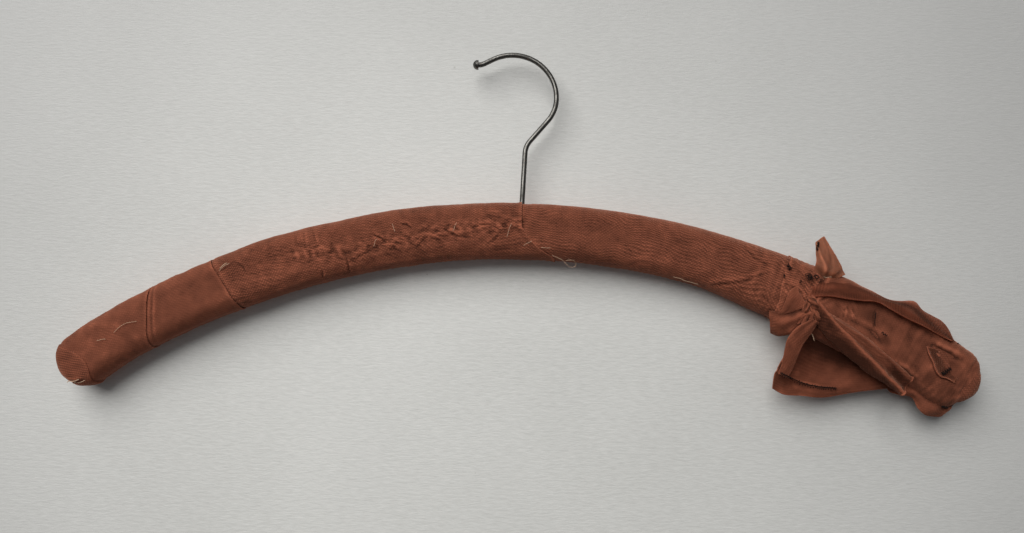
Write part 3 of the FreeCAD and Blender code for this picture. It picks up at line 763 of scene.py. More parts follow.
FOLD_LINE = ((-174.9, 13.5), (-175.9, 11.6), (-180.5, 2.5), (-187.0, -10.9), (-188.2, -13.5))
PATCH_EDGE = ((-224.5, 12.5), (-221.1, 6.9), (-218.6, 4.0), (-216.7, 0.0), (-216.0, -4.4), (-216.5, -7.9),
              (-219.5, -12.5))
SHOULDER_EDGE = ((-146.5, 13.5), (-145.2, 6.9), (-143.4, -2.0), (-142.2, -8.0), (-141.0, -13.5))
OVERLAP_EDGE = ((-0.1, 14.0), (-0.1, 9.6), (0.1, 0.0), (3.5, -4.5), (9.0, -9.2), (19.0, -13.5))
RIDGE_LINE = ((-116, 0.8), (-105, 0.0), (-96, -1.1), (-83, -6.6), (-67, -3.3), (-53, -4.8), (-43, -2.1),
              (-24, -2.0), (-15, -0.5), (-2, 0.2))
KNOT = (140.8, -6.3)


def shifted(edge, distance):
    return edge_at(*[(along + distance, across) for along, across in edge])


def lumps(along, across, proud, seed, size=0.3, reach=11.0):
    """Gentle unevenness of cloth wound over a bar, with finer crinkles on it."""
    wander = across + 1.7 * proud
    coarse = layered(along / reach, wander / (0.7 * reach), seed)
    fine = layered(along / 2.4, wander / 2.0, seed + 9, 2)
    return size * coarse + 0.09 * fine


def underside_pleats(along, across, proud, seed):
    """Short ribs where the cloth is drawn under the bow."""
    low = smooth(-8, -12.5, across)
    return low * 0.07 * np.sin(along * 2.1 + 3 * layered(along / 7, proud / 5, seed))


def slack(along, across, proud):
    """The fabric hangs a little below the bar, more towards the binding."""
    depth = 1.5 * smooth(-205, -120, along) + 3.2 * smooth(84, 124, along)
    fuller = 0.9 * bump(along, -118, 16) + 0.4 * bump(along, -60, 14)
    lower, upper = smooth(-2, -12, across), smooth(4, 12, across)
    return along, across - depth * lower * (1 - 0.25 * smooth(0, 8, proud)) + fuller * upper, proud


def blunt(along, across, proud):
    """The left tip, a little less than round."""
    tip = -END_ALONG + (along + END_ALONG) * 0.90
    return slack(np.where(along < -END_ALONG, tip, along), across - 0.7 * smooth(-205, -222, along), proud)


def gathers(along, across, reach=14.0, folds=17, depth=0.55):
    """Folds radiating from the knot."""
    out, up = along - KNOT[0], across - KNOT[1]
    away = np.hypot(out, up)
    turn = np.arctan2(up, out)
    wave = np.cos(folds * turn + 5 * layered(away / 6, turn * 1.7, 77, 2))
    patchy = 0.55 + 0.9 * layered(away / 7, turn * 1.3, 78, 2)
    return depth * wave * patchy * np.exp(-(away / reach) ** 2) * smooth(2.0, 6.0, away)


def make_lining():
    ends = [straight(side * (END_ALONG + COVER_HALF_HEIGHT - 0.9)) for side in (-1, 1)]
    piece = sleeve("lining_cloth", *ends, -0.9, lambda s, w, p: 0.02 * layered(s / 9, w / 6, 5) - 0.02,
                   hole=1.8, step=1.0)
    finish(piece, LINING_KNIT, "stocking_lining", "stocking_lining")


def make_left_end():
    """The three smooth scraps from the left tip to the stitched corner."""
    def tip(along, across, proud):
        out = lumps(along, across, proud, 3, 0.22)
        slit = crease(along, across, ((-229.5, -6.0), (-226, -8.6), (-221.5, -10.2)), 0.7, 0.6)
        return out + slit * smooth(-2, 4, proud)

    def end(along, across, proud):
        out = lumps(along, across, proud, 11, 0.26) + underside_pleats(along, across, proud, 12)
        out += 0.35 * smooth(8, 12.5, across) * layered(along / 5, proud / 6, 14)
        front = smooth(0, 6, proud)
        out += front * 0.25 * bump(from_line(along, across, ((-205, 9), (-196, 3), (-190, -7)))[0], 0, 2.0)
        return out

    def shoulder(along, across, proud):
        out = lumps(along, across, proud, 21, 0.25) + underside_pleats(along, across, proud, 22)
        second_fold = ((-173.2, 13.0), (-177.3, 3.5), (-179.5, -0.7), (-184.9, -13.0))
        out += crease(along, across, second_fold, 0.45, 0.6, 0.7)
        out += 0.3 * smooth(8, 12.5, across) * layered(along / 4, proud / 6, 24)
        return out

    tip_end = straight(-(END_ALONG + COVER_HALF_HEIGHT + 0.4))
    piece = sleeve("left_patch_cloth", tip_end, edge_at(*PATCH_EDGE), 0.3, tip, (0.0, 0.06), blunt)
    finish(piece, TIP_KNIT, "stocking_knit", "left_end_patch")
    tip_end = straight(-(END_ALONG + COVER_HALF_HEIGHT - 0.1))
    piece = sleeve("left_end_cloth", tip_end, edge_at(*FOLD_LINE), -0.1, end, (0.0, 0.22), blunt)
    finish(piece, SMOOTH_KNIT, "stocking_knit", "left_end_wrap")
    piece = sleeve("left_shoulder_cloth", shifted(FOLD_LINE, -3.5), edge_at(*SHOULDER_EDGE), 0.0, shoulder,
                   (-0.45, 0.22), slack)
    finish(piece, SMOOTH_KNIT, "stocking_knit", "left_shoulder_wrap")


def make_centre():
    """The crumpled sleeve left of the hook and the double-layered one right of it."""
    furrows = (((-84, -8), (-78, -6.4), (-67, -3.3)), ((-50.6, -6.6), (-47, -3.5), (-43.5, -2.1)),
               ((-56.5, 4.6), (-54, 4.4), (-52, 2.2)), ((-16.5, -7.4), (-13, -5.5), (-11, -3.2)),
               ((-84.5, -6.0), (-84.4, -9.0), (-84.8, -12.4)), ((-70, 2.0), (-66.5, -0.5), (-64, -4.0)),
               ((-36, -0.5), (-31, -3.6), (-24, -4.4)), ((-24, 0.2), (-18, 1.6), (-12.5, 1.0)),
               ((-97.0, -8.6), (-98.2, -11.4)))
    folds = (((-101.5, 10.8), (-101.9, 2.6)), ((-97.3, 10.6), (-96.7, 1.2)), ((-105.5, 9.0), (-105.8, 4.0)))

    def crumpled(along, across, proud):
        out = lumps(along, across, proud, 31, 0.34) + underside_pleats(along, across, proud, 32)
        front = smooth(1, 7, proud)
        gap, _ = from_line(along, across, RIDGE_LINE)
        band = np.exp(-((gap - 0.8) / 4.0) ** 2) * smooth(-122, -100, along)
        bent = across + 1.2 * layered(along / 9, across / 5, 38, 2)
        out += front * band * (0.42 * ridged(along / 3.6, bent / 2.2, 33) - 0.1)
        out += front * (band + 0.16) * 0.60 * layered(along / 1.5, bent / 1.05, 37, 2)
        crest = smooth(0.55, 0.95, ridged(along / 7, bent / 3.0, 39, 2))
        out += front * band * 0.50 * crest
        for line in furrows:
            out += front * crease(along, across, line, 0.95, 0.44, 0.55)
        for line in folds:
            out += front * crease(along, across, line, 0.28, 0.5, 1.0)
        for step in range(4):
            bent = ((-135.5 + step, 7.0 - 1.2 * step), (-131.5, 3.2 - 1.3 * step), (-127, 1.4 - 1.3 * step),
                    (-123.0, 3.2 - 1.1 * step))
            out += front * crease(along, across, bent, 0.26, 0.42, 0.8)
        out += front * 0.16 * bump(across, -11.0 + 0.4 * np.sin(along / 9), 0.5)
        return out + front * 0.35 * bump(from_line(along, across, ((1, -1), (-6, 4), (-14, 8)))[0], 0, 1.4)

    def double(along, across, proud):
        out = lumps(along, across, proud, 41, 0.22) + underside_pleats(along, across, proud, 42)
        front = smooth(1, 7, proud)
        drawn = ((91, -12.8), (100, -9.2), (109, -5.8), (119, 1.2))
        out += front * crease(along, across, drawn, 0.5, 0.55, 0.9)
        out += front * crease(along, across, ((104, 9), (110, 5), (118, 4)), 0.35, 0.6, 0.8)
        out += front * crease(along, across, ((52, -12), (57, -9.4), (64, -9.0)), 0.3, 0.6, 0.7)
        draw = smooth(96, 126, along) * front
        out += draw * 0.28 * ridged(along / 3.4, across / 9, 43, 2)
        return out + gathers(along, across) * front

    piece = sleeve("centre_left_cloth", shifted(SHOULDER_EDGE, -3.5), edge_at(*OVERLAP_EDGE), -0.05,
                   crumpled, (-0.45, 0.3), slack, SHANK_HOLE)
    finish(piece, CRUMPLED_KNIT, "stocking_knit", "centre_left_sleeve")
    start = edge_at((0.1, 14.0), (0.1, 9.0), (-3.0, 0.0), (-3.0, -4.0), (5.0, -9.2), (15.0, -13.5))
    piece = sleeve("centre_right_cloth", start, straight(136), -0.15, double, (-0.25, -0.3),
                   slack, SHANK_HOLE)
    finish(piece, MOIRE_KNIT, "stocking_knit", "centre_right_sleeve")


# ----- the right end: binding, cover, knot and tails --------------------------------------


def make_binding():
    """The strip bound round the bow, its loose lower loop and the light fold beside the knot."""
    def bound(along, across, proud):
        front = smooth(0, 6, proud)
        out = lumps(along, across, proud, 51, 0.4, 7.0) + gathers(along, across, 13, 15, 0.45) * front
        out += front * 0.24 * ridged(along / 2.6, across / 2.2, 53, 2)
        turns = np.sin((along - 126) * 2.3 + layered(across / 4, proud / 4, 52))
        return out + 0.3 * turns * (1 - 0.8 * front)

    start = edge_at((126.6, 13.5), (125.0, 5.0), (125.6, -2.6), (127.2, -7.7), (127.6, -13.5))
    round_bow = sleeve("binding_cloth", start, straight(141.5), 0.35, bound, (0.08, 0.0), slack)
    finish(round_bow, MOIRE_KNIT, "stocking_tie", "binding_strip")
    loop = sheet("binding_loop", [
        [(124.6, -15.8, 7.4), (128.9, -15.4, 9.0), (132.7, -12.8, 9.8), (136.4, -10.0, 10.4),
         (141.0, -7.4, 11.0)],
        [(125.2, -18.0, 8.0), (129.4, -17.4, 9.8), (134.0, -14.6, 11.0), (138.4, -11.2, 11.8),
         (143.4, -8.0, 12.0)],
        [(126.6, -20.4, 7.4), (131.0, -20.6, 9.6), (136.0, -17.6, 11.0), (141.0, -13.4, 11.8),
         (146.6, -9.6, 11.6)],
        [(128.8, -23.4, 5.6), (132.6, -24.2, 8.0), (137.0, -21.4, 9.8), (142.2, -16.8, 10.6),
         (148.0, -12.4, 10.2)],
        [(130.6, -24.6, 2.6), (134.4, -25.0, 4.4), (138.6, -22.6, 6.8), (143.4, -18.0, 8.2),
         (148.2, -13.8, 8.4)],
    ], lambda d, o: 0.36 * np.sin(17 * d + 2.5 * o + 2 * layered(d * 2, o * 3, 55)) * smooth(0.02, 0.4, o)
        + 0.22 * layered(d * 4, o * 6, 56),
        # Painted shade towards its first and last rails.
        0.7, lambda d, o: 0.8 * smooth(0.22, 0.02, d) + 0.7 * smooth(0.6, 0.9, d))
    fold = sheet("binding_fold", [
        [(132.0, -1.0, 9.5), (129.8, -4.2, 10.0), (129.4, -9.4, 10.2), (129.0, -14.6, 9.8),
         (127.6, -17.4, 8.6)],
        [(132.2, -1.0, 9.9), (131.6, -4.6, 10.9), (131.4, -9.6, 11.0), (130.6, -14.2, 10.3),
         (128.6, -17.1, 8.9)],
        [(132.5, -1.0, 9.9), (134.2, -5.0, 10.9), (134.6, -9.6, 11.1), (132.6, -13.6, 10.6),
         (129.4, -16.7, 9.3)],
        [(132.8, -1.2, 9.4), (136.0, -4.8, 10.0), (139.4, -7.8, 11.2), (135.8, -11.2, 11.2),
         (130.2, -16.2, 9.7)],
    ], lambda d, o: 0.22 * layered(d * 3, o * 5, 58, 3) - 0.25 * bump(d, 0.45, 0.08) * smooth(0.2, 0.6, o),
        # Painted shade towards the far ends of its rails and a painted highlight towards the near ends.
        0.7, lambda d, o: 0.4 * smooth(0.6, 1.0, o) - 0.3 * smooth(0.6, 0.2, o))
    finish(join("binding_folds", [loop, fold]), TIE_KNIT, "stocking_tie", "binding_strip")


def make_cover():
    """The loose outer cover of the right end, with its folded-over top strip and lower flap."""
    top_line = ((147.2, 0.8), (155.2, 3.6), (161.8, 5.8), (167.3, 8.2), (173.7, 8.8), (183.6, 8.5),
                (190.9, 9.2), (196.0, 8.9), (204.0, 8.6))
    torn_line = ((160, -4.0), (167, -4.0), (174, -4.0), (179, -6))
    pit_line = ((199.6, 4.6), (203.0, 4.3), (207.0, 4.8), (214, 6.6))

    def cover(along, across, proud):
        front = smooth(0, 7, proud)
        out = lumps(along, across, proud, 61, 0.34, 9.0) + underside_pleats(along, across, proud, 62)
        out += gathers(along, across, 15, 19, 0.5) * front
        gap, _ = from_line(along, across, top_line)
        under_strip = smooth(145, 156, along) * smooth(206, 198, along)
        out += front * (-0.65 * smooth(0.6, -0.4, gap) + 0.2) * under_strip
        out -= front * 0.5 * bump(across, 1.0, 5.0) * bump(along, 178, 12)
        out += front * crease(along, across, ((169.7, 5.2), (170.6, 1.5), (172.8, -2.6)), 0.8, 0.4, 0.4)
        torn = bump(along, 160, 7) * bump(across, -1.5, 4.0) * front
        ragged = 0.6 + layered(along / 4, across / 3, 68)
        out += torn * 0.55 * ridged(along / 1.9, across / 1.5, 67) * ragged
        out += front * crease(along, across, torn_line, 0.45, 0.8, 0.6)
        out -= front * 0.6 * bump(along, 177, 4) * bump(across, -5.0, 2.2)
        wander = layered(along / 12, across / 9, 69)
        out += front * 0.09 * np.sin(along * 0.72 + across * 0.12 + 1.5 * wander)
        out += front * crease(along, across, pit_line, 2.0, 1.1, 0.2)
        out -= front * 1.9 * bump(along, 208.5, 5.5) * bump(across, 1.0, 4.2)
        out += front * crease(along, across, ((186.0, -12.4), (194, -12.8), (203.9, -13.5)), 1.5, 0.9, 0.3)
        ribs = np.sin(along * 2.1 + 3 * layered(along / 6, across / 9, 64))
        out += front * 0.05 * ribs * smooth(176, 186, along)
        out += 0.5 * bump(along, 222, 9) * layered(along / 4.5, (across + proud) / 5, 66)
        return out

    def mould(along, across, proud):
        tip = END_ALONG + (along - END_ALONG) * 0.70
        thin = 1 - 0.22 * smooth(206, 228, along)
        sag = 1 + 0.13 * bump(along, 212, 10) * smooth(0, -8, across)
        along, across, proud = slack(np.where(along > END_ALONG, tip, along), across * sag, proud * thin)
        return along, across + 3.6 * smooth(170, 200, along) * smooth(-2, -12, across), proud

    ends = edge_at((140, 13.5), (138.5, 0), (139.5, -13.5)), straight(END_ALONG + COVER_HALF_HEIGHT + 1.0)
    body = sleeve("cover_body", *ends, 1.0, cover, (-0.9, 0.0), mould)
    strip = sheet("cover_strip", [
        [(139.6, -3.4, 8.4), (146.4, 0.4, 10.9), (155.2, 3.1, 11.2), (161.8, 5.6, 11.5),
         (167.6, 8.0, 11.6), (174.6, 7.9, 11.7), (183.6, 8.1, 11.8), (190.9, 8.9, 11.6),
         (197.4, 9.6, 10.9), (205.6, 10.9, 9.2)],
        [(139.2, -1.0, 8.2), (146.4, 3.0, 10.8), (154.2, 6.0, 10.9), (161.0, 8.0, 11.0),
         (167.3, 10.0, 10.8), (173.9, 10.4, 10.8), (183.2, 11.4, 10.9), (191.0, 11.4, 10.6),
         (198.6, 11.6, 10.0), (206.4, 11.5, 8.6)],
        [(139.0, 3.0, 8.0), (146.0, 6.4, 9.7), (152.6, 9.2, 9.6), (160.2, 10.6, 9.4), (167.8, 11.7, 9.2),
         (174.6, 12.3, 9.4), (182.8, 15.0, 10.4), (191.0, 14.4, 9.8), (199.6, 14.2, 8.6),
         (207.8, 12.4, 7.0)],
        [(139.0, 6.4, 6.2), (145.6, 9.2, 6.9), (151.2, 11.6, 6.2), (159.7, 12.4, 5.9), (168.4, 13.2, 5.8),
         (175.6, 13.8, 6.4), (183.6, 17.4, 7.8), (190.0, 16.6, 6.8), (200.4, 17.0, 6.0),
         (209.4, 12.9, 4.2)],
        [(139.4, 9.4, 2.6), (145.6, 11.0, 3.0), (150.8, 12.5, 2.6), (159.7, 13.2, 2.4),
         (168.4, 13.9, 2.4), (176.6, 14.2, 3.0), (184.2, 18.6, 5.6), (190.4, 17.2, 4.6),
         (200.8, 17.9, 4.0), (210.8, 12.8, 1.8)],
    ], lambda d, o: (0.16 * np.sin(19 * d + 5 * o + 2 * layered(d * 2, o * 6, 71)) * smooth(0.45, 0.0, o)
                     + 0.34 * layered(d * 3, o * 8, 72, 3) + 0.35 * np.exp(-d / 0.05)
                     - 0.40 * bump(d + 0.1 * np.sin(9 * o), 0.42, 0.10) * smooth(0.30, 0.5, o)),
        # Painted shade along a valley near its second rail, and two pale painted highlights towards its last
        # rails.
        0.7, lambda d, o: (0.5 * bump(d + 0.1 * np.sin(9 * o), 0.36, 0.16) * smooth(0.25, 0.5, o)
                           - 1.1 * smooth(0.5, 0.9, d) * bump(o, 0.65, 0.06)
                           - 0.9 * smooth(0.7, 1.0, d) * bump(o, 0.86, 0.06)))
    low = sheet("cover_low_flap", [
        [(190.0, -12.0, 2.3), (196.0, -12.6, 2.6), (202.0, -12.8, 2.9), (208.0, -12.8, 3.0),
         (213.0, -13.0, 3.0), (218.5, -12.8, 2.8), (223.0, -11.0, 2.4), (226.0, -8.8, 2.0)],
        [(191.0, -15.5, 0.8), (196.6, -16.6, 1.2), (202.0, -16.6, 1.6), (208.0, -15.6, 2.4),
         (213.0, -16.4, 3.2), (218.6, -16.6, 3.4), (223.2, -14.4, 2.8), (225.8, -11.4, 1.6)],
        [(192.6, -18.6, -0.2), (197.2, -20.2, 0.4), (202.0, -19.8, 1.0), (207.8, -17.8, 2.4),
         (213.2, -19.6, 3.2), (218.6, -20.2, 3.4), (223.4, -17.4, 2.4), (225.8, -13.6, 1.2)],
        [(194.2, -20.8, -1.0), (197.9, -22.8, -0.2), (201.8, -21.7, 0.4), (207.8, -19.7, 0.8),
         (213.2, -21.9, 1.2), (218.8, -22.6, 1.4), (223.8, -19.2, 0.6), (225.6, -15.8, -0.2)],
    ], lambda d, o: 0.35 * np.sin(19 * o + 3 * d) * (0.3 + d) + 0.3 * layered(d * 3, o * 9, 74, 3),
        # Painted shadow over its upper rails, under the cover's lower edge.
        0.7, lambda d, o: 1.3 * smooth(0.55, 0.2, d))
    cover_piece = join("cover_cloth", [body, low])
    finish(cover_piece, COVER_KNIT, "stocking_knit", "right_end_cover")
    finish(strip, STRIP_KNIT, "stocking_knit", "right_end_cover")
    tip_end = straight(END_ALONG + COVER_HALF_HEIGHT - 0.3)
    inner = sleeve("under_cover_cloth", straight(137.5), tip_end, -0.3,
                   lambda s, w, p: 0.12 * layered(s / 8, (w + p) / 6, 76), step=1.0,
                   mould=lambda s, w, p: (np.where(s > END_ALONG, END_ALONG + (s - END_ALONG) * 0.62, s), w,
                                          p * (1 - 0.25 * smooth(206, 228, s))))
    finish(inner, LINING_KNIT, "stocking_knit", "right_under_cover")
    flap = sheet("end_pocket_cloth", [
        [(197.4, 2.4, 9.4), (200.0, -0.4, 10.0), (202.8, -2.4, 10.4), (205.6, -4.9, 10.6),
         (208.9, -6.2, 10.5), (212.7, -5.1, 9.9), (217.0, -4.3, 8.8)],
        [(198.3, 2.6, 9.2), (201.2, 0.2, 9.6), (204.0, -1.8, 9.8), (206.4, -3.9, 9.9), (209.2, -4.9, 9.8),
         (212.7, -4.1, 9.3), (217.0, -3.5, 8.4)],
        [(200.4, 3.4, 8.7), (203.4, 1.6, 8.7), (206.0, 0.0, 8.7), (208.0, -1.6, 8.6), (210.0, -2.4, 8.5),
         (213.0, -2.2, 8.4), (217.2, -2.0, 8.1)],
        [(203.0, 4.4, 7.8), (206.0, 3.0, 7.4), (208.2, 1.6, 7.3), (209.8, 0.6, 7.2), (211.4, 0.2, 7.2),
         (213.8, 0.2, 7.3), (217.4, 0.0, 7.4)],
    ], lambda d, o: 0.30 * layered(d * 3, o * 5, 79, 3) * smooth(0.0, 0.3, d),
        # Painted shade deeper into the pocket, away from its rim.
        1.5, lambda d, o: 0.7 * smooth(0.15, 0.6, d))
    finish(flap, TIE_KNIT, "stocking_knit", "end_pocket_flap")


def pleat(name, start, end, width, height, bend, seed):
    """A narrow fold lying on the cloth from one place to another, sunk into it at its sides."""
    share = np.linspace(0, 1, 7)
    line = np.array(start) * (1 - share[:, None]) + np.array(end) * share[:, None]
    ahead = (line[-1] - line[0])[:2]
    aside = np.array([-ahead[1], ahead[0]]) / np.hypot(*ahead)
    line[:, :2] += aside * (bend * np.sin(math.pi * share))[:, None]
    swelling = (0.35 + np.sin(math.pi * np.clip(share * 0.9 + 0.1, 0, 1)) ** 0.7)
    rails = []
    for side in (-1.0, -0.55, 0.0, 0.5, 1.0):
        rail = line.copy()
        rail[:, :2] += aside * (side * width / 2 * swelling)[:, None]
        rail[:, 2] += height * (1 - abs(side) ** 1.5) * swelling - 0.35 * abs(side)
        rails.append([tuple(place) for place in rail])
    return sheet(name, rails, lambda d, o: 0.16 * layered(d * 4, o * 9, seed, 3))


def make_knot():
    """Turns of twisted cloth pulled tight, with the folds that run into them."""
    def lump(name, centre, axis, length, thickness, folds, twist, seed):
        rows, columns = 56, 64
        pitch, yaw = np.meshgrid(np.linspace(-1, 1, rows) * math.pi / 2,
                                 np.linspace(0, 2, columns) * math.pi, indexing="ij")
        ribs = 1 + 0.09 * np.cos(folds * yaw + twist * pitch) * np.cos(pitch) ** 0.5
        ribs += 0.24 * layered(np.cos(yaw) * 2 + 5, np.sin(yaw) * 2 + pitch * 2 + 5, seed, 3)
        ring = np.abs(np.cos(pitch)) ** 0.75 * ribs * thickness
        lift = np.sin(pitch) * length
        local = np.stack([ring * np.cos(yaw), ring * np.sin(yaw) * 0.8, lift], axis=-1)
        local[0] = (0, 0, -length)
        local[-1] = (0, 0, length)
        ahead = Vector(axis).normalized()
        side = ahead.cross(Vector((0, 1, 0))).normalized()
        turn = np.array([side, ahead.cross(side), ahead])
        points = (local @ turn + on_bow(*centre)).reshape(-1, 3)
        knit = np.stack([pitch * length, yaw * thickness], axis=-1).reshape(-1, 2)
        # Painted shade in the grooves between the ribs and painted highlight on them.
        relief_shade = np.clip((ribs - 1) * 6, -1, 1).ravel()
        return tidy(add_mesh(name, points, grid_faces(rows, columns), knit, relief_shade))

    over = lump("knot_over", (141.2, -5.6, 12.4), (0.75, 0.1, -0.62), 3.8, 1.9, 4, 2.6, 81)
    under = lump("knot_under", (139.2, -8.4, 11.8), (0.35, 0.0, 0.9), 3.6, 1.6, 4, -2.2, 82)
    root = lump("knot_root", (143.4, -9.4, 11.4), (0.55, 0.0, -0.8), 4.4, 1.7, 4, 1.9, 83)
    runs = [((138.2, -6.4, 11.2), (142.4, -5.0, 12.2), 1.5, 0.9, 0.8),
            ((139.6, -9.2, 11.4), (138.6, -17.4, 11.2), 1.3, 0.5, 0.4),
            ((141.0, -9.6, 11.8), (140.9, -18.4, 11.6), 1.4, 0.6, -0.3),
            ((142.6, -9.6, 12.0), (143.6, -17.6, 11.4), 1.4, 0.6, 0.4)]
    folds = [pleat(f"knot_fold_{index}", *run, 130 + index) for index, run in enumerate(runs)]
    finish(join("knot_cloth", [over, under, root, *folds]), TIE_KNIT, "stocking_tie", "tie_knot")


def make_tails():
    """The tie's four loose ends."""
    ear = sheet("upper_tail_cloth", [
        [(137.2, 9.4, 6.8), (136.6, 13.2, 9.2), (135.2, 16.6, 9.4), (133.8, 20.2, 9.3),
         (133.2, 22.4, 9.1)],
        [(140.8, 6.8, 7.4), (140.6, 11.8, 11.0), (138.8, 15.8, 10.4), (136.4, 20.2, 9.8),
         (134.0, 23.8, 9.2)],
        [(145.4, 7.4, 7.2), (145.2, 11.6, 10.4), (143.2, 16.2, 9.6), (139.6, 20.8, 9.2),
         (134.9, 25.4, 8.9)],
        [(150.9, 13.9, 8.4), (147.7, 16.8, 8.6), (144.1, 19.8, 8.7), (140.2, 22.9, 8.7),
         (135.8, 26.6, 8.7)],
    ], lambda d, o: 0.5 * bump(d * 3.2 + o * 1.4, 1.5, 0.22) - 0.5 * bump(o, 0.15, 0.07)
        + 0.18 * layered(d * 4, o * 5, 91, 3) - 0.35 * bump(d - 0.5 * o, 0.35, 0.08))
    finish(ear, THIN_KNIT, "stocking_tie", "upper_tie_tail")
    strip = sheet("hanging_strip_cloth", [
        [(144.0, -12.6, 11.8), (138.4, -18.8, 12.2), (136.3, -25.2, 11.4), (137.4, -31.0, 10.4),
         (139.2, -37.4, 9.0), (139.3, -41.6, 8.0)],
        [(145.0, -12.6, 12.4), (141.8, -18.4, 12.6), (140.4, -25.6, 11.6), (141.0, -32.0, 10.6),
         (142.0, -38.2, 9.3), (141.8, -42.0, 8.4)],
        [(147.0, -12.8, 11.4), (146.0, -18.8, 11.4), (144.7, -25.0, 10.4), (144.9, -31.0, 9.8),
         (145.3, -37.4, 8.8), (144.8, -41.8, 8.0)],
    ], lambda d, o: 0.25 * np.sin(12 * d + 2 * o) * smooth(0.6, 0.0, o) + 0.28 * layered(d * 3, o * 5, 94))
    finish(strip, TIE_KNIT, "stocking_tie", "hanging_strip")
    pouch = sheet("lower_tail_cloth", [
        [(141.6, -12.0, 6.6), (150.0, -12.0, 3.4), (165.0, -12.0, 2.6), (180.0, -12.0, 3.4),
         (192.0, -12.8, 5.4), (198.0, -13.6, 5.8)],
        [(141.6, -21.0, 7.6), (149.6, -21.6, 1.4), (163.0, -22.6, -1.4), (176.0, -21.4, -0.6),
         (188.0, -18.6, 1.6), (197.4, -16.2, 5.0)],
        [(140.0, -31.0, 6.8), (148.4, -31.6, 1.6), (160.0, -32.4, -1.8), (172.0, -29.6, -0.8),
         (184.0, -24.0, 1.2), (196.8, -18.2, 4.6)],
        [(139.4, -39.8, 5.8), (147.8, -40.3, 3.2), (157.4, -39.0, 1.2), (167.0, -36.6, 1.2),
         (180.0, -30.6, 1.8), (195.4, -20.4, 4.2)],
        [(139.6, -43.2, 5.4), (147.8, -44.2, 3.0), (157.0, -43.2, 1.4), (168.0, -39.4, 1.0),
         (180.6, -32.6, 1.6), (196.0, -20.4, 4.0)],
        [(141.8, -48.8, 4.2), (149.0, -48.9, 2.6), (158.0, -45.8, 1.6), (169.0, -41.6, 0.8),
         (181.0, -33.4, 1.2), (196.6, -20.6, 3.8)],
    ], lambda d, o: (0.55 * np.sin(9 * o + 5 * d + 2 * layered(d * 2, o * 3, 95)) * smooth(0.0, 0.25, d)
                     + 0.30 * layered(d * 4, o * 6, 96) + 0.35 * bump(d, 0.62, 0.03) * smooth(0.75, 0.5, o)),
        # Painted shade at its top, under the long tail, with an uneven tone and a darker line near its hem.
        0.7, lambda d, o: (1.2 * smooth(0.42, 0.05, d) + 0.35 * layered(d * 2, o * 5, 99)
                           + 0.5 * bump(d, 0.86, 0.04) * o))
    finish(pouch, POUCH_KNIT, "stocking_tie", "lower_tie_tail")
    long_tail = sheet("long_tail_cloth", [
        [(140.0, -2.0, 9.4), (150.0, -5.8, 8.8), (162.0, -6.6, 8.4), (172.0, -8.0, 8.2),
         (182.0, -10.4, 8.6), (190.0, -12.6, 10.8), (197.6, -14.6, 11.8)],
        [(141.0, -3.2, 12.0), (152.0, -7.8, 12.2), (162.5, -9.4, 12.1), (172.4, -10.6, 12.2),
         (183.0, -12.4, 12.3), (190.4, -14.2, 12.5), (198.0, -15.8, 12.4)],
        [(141.6, -3.6, 12.2), (152.4, -8.6, 12.6), (162.0, -11.6, 12.3), (172.2, -13.4, 12.0),
         (183.0, -16.0, 11.6), (190.6, -17.8, 9.8), (198.8, -19.0, 8.9)],
        [(142.2, -4.2, 12.8), (152.7, -9.4, 13.4), (161.5, -12.8, 13.4), (172.0, -16.1, 13.1),
         (183.2, -19.2, 12.9), (190.8, -21.2, 12.6), (197.9, -22.9, 12.2)],
        [(142.2, -8.4, 11.8), (151.4, -12.0, 11.6), (160.2, -15.8, 11.3), (170.6, -18.6, 11.0),
         (182.0, -21.0, 10.8), (190.2, -22.3, 11.2), (197.6, -23.6, 11.2)],
        [(142.6, -10.4, 9.6), (151.2, -15.4, 9.4), (160.0, -18.5, 9.0), (170.0, -20.8, 8.8),
         (180.6, -22.6, 8.6), (189.6, -22.9, 9.4), (197.2, -23.2, 10.0)],
        [(143.0, -10.0, 8.2), (151.2, -14.6, 7.4), (160.0, -17.4, 7.0), (170.0, -19.6, 6.8),
         (180.6, -21.0, 6.8), (189.8, -21.0, 7.6), (196.6, -21.6, 8.8)],
    ], lambda d, o: (0.30 * layered(d * 7, o * 16, 98, 3)
                     + 0.60 * np.exp(-((d - 0.50 + 0.01 * np.sin(23 * o)) / 0.045) ** 2)
                     + 0.35 * np.exp(-((d - 0.17 + 0.01 * np.sin(19 * o)) / 0.03) ** 2) * smooth(0.1, 0.3, o)
                     + 0.30 * np.exp(-((d - 0.30 + 0.05 * o) / 0.03) ** 2) * smooth(0.85, 0.6, o)
                     + smooth(0.97, 1.0, o) * (0.4 + 0.3 * np.sin(14 * d + 1))), 1.2,
        # Painted shade over its downward face and inside its open end, and a painted highlight along its
        # lower ridge.
        lambda d, o: (1.1 * smooth(0.55, 0.66, d) + 1.0 * bump(d, 0.34, 0.13) * smooth(0.70, 0.84, o)
                      - 0.7 * bump(d, 0.49, 0.03)), 0.5)
    finish(long_tail, TIE_KNIT, "stocking_tie", "long_tie_tail")


# ----- threads ----------------------------------------------------------------------------


def squiggle(start, end, seed, bends=2, sway=0.35):
    """A loose thread between two places, wandering to both sides."""
    rng = np.random.default_rng(seed)
    share = np.linspace(0, 1, bends + 2)[:, None]
    line = np.array(start) * (1 - share) + np.array(end) * share
    line[1:-1] += rng.uniform(-1, 1, (bends, 3)) * (sway, sway, 0.25)
    return line


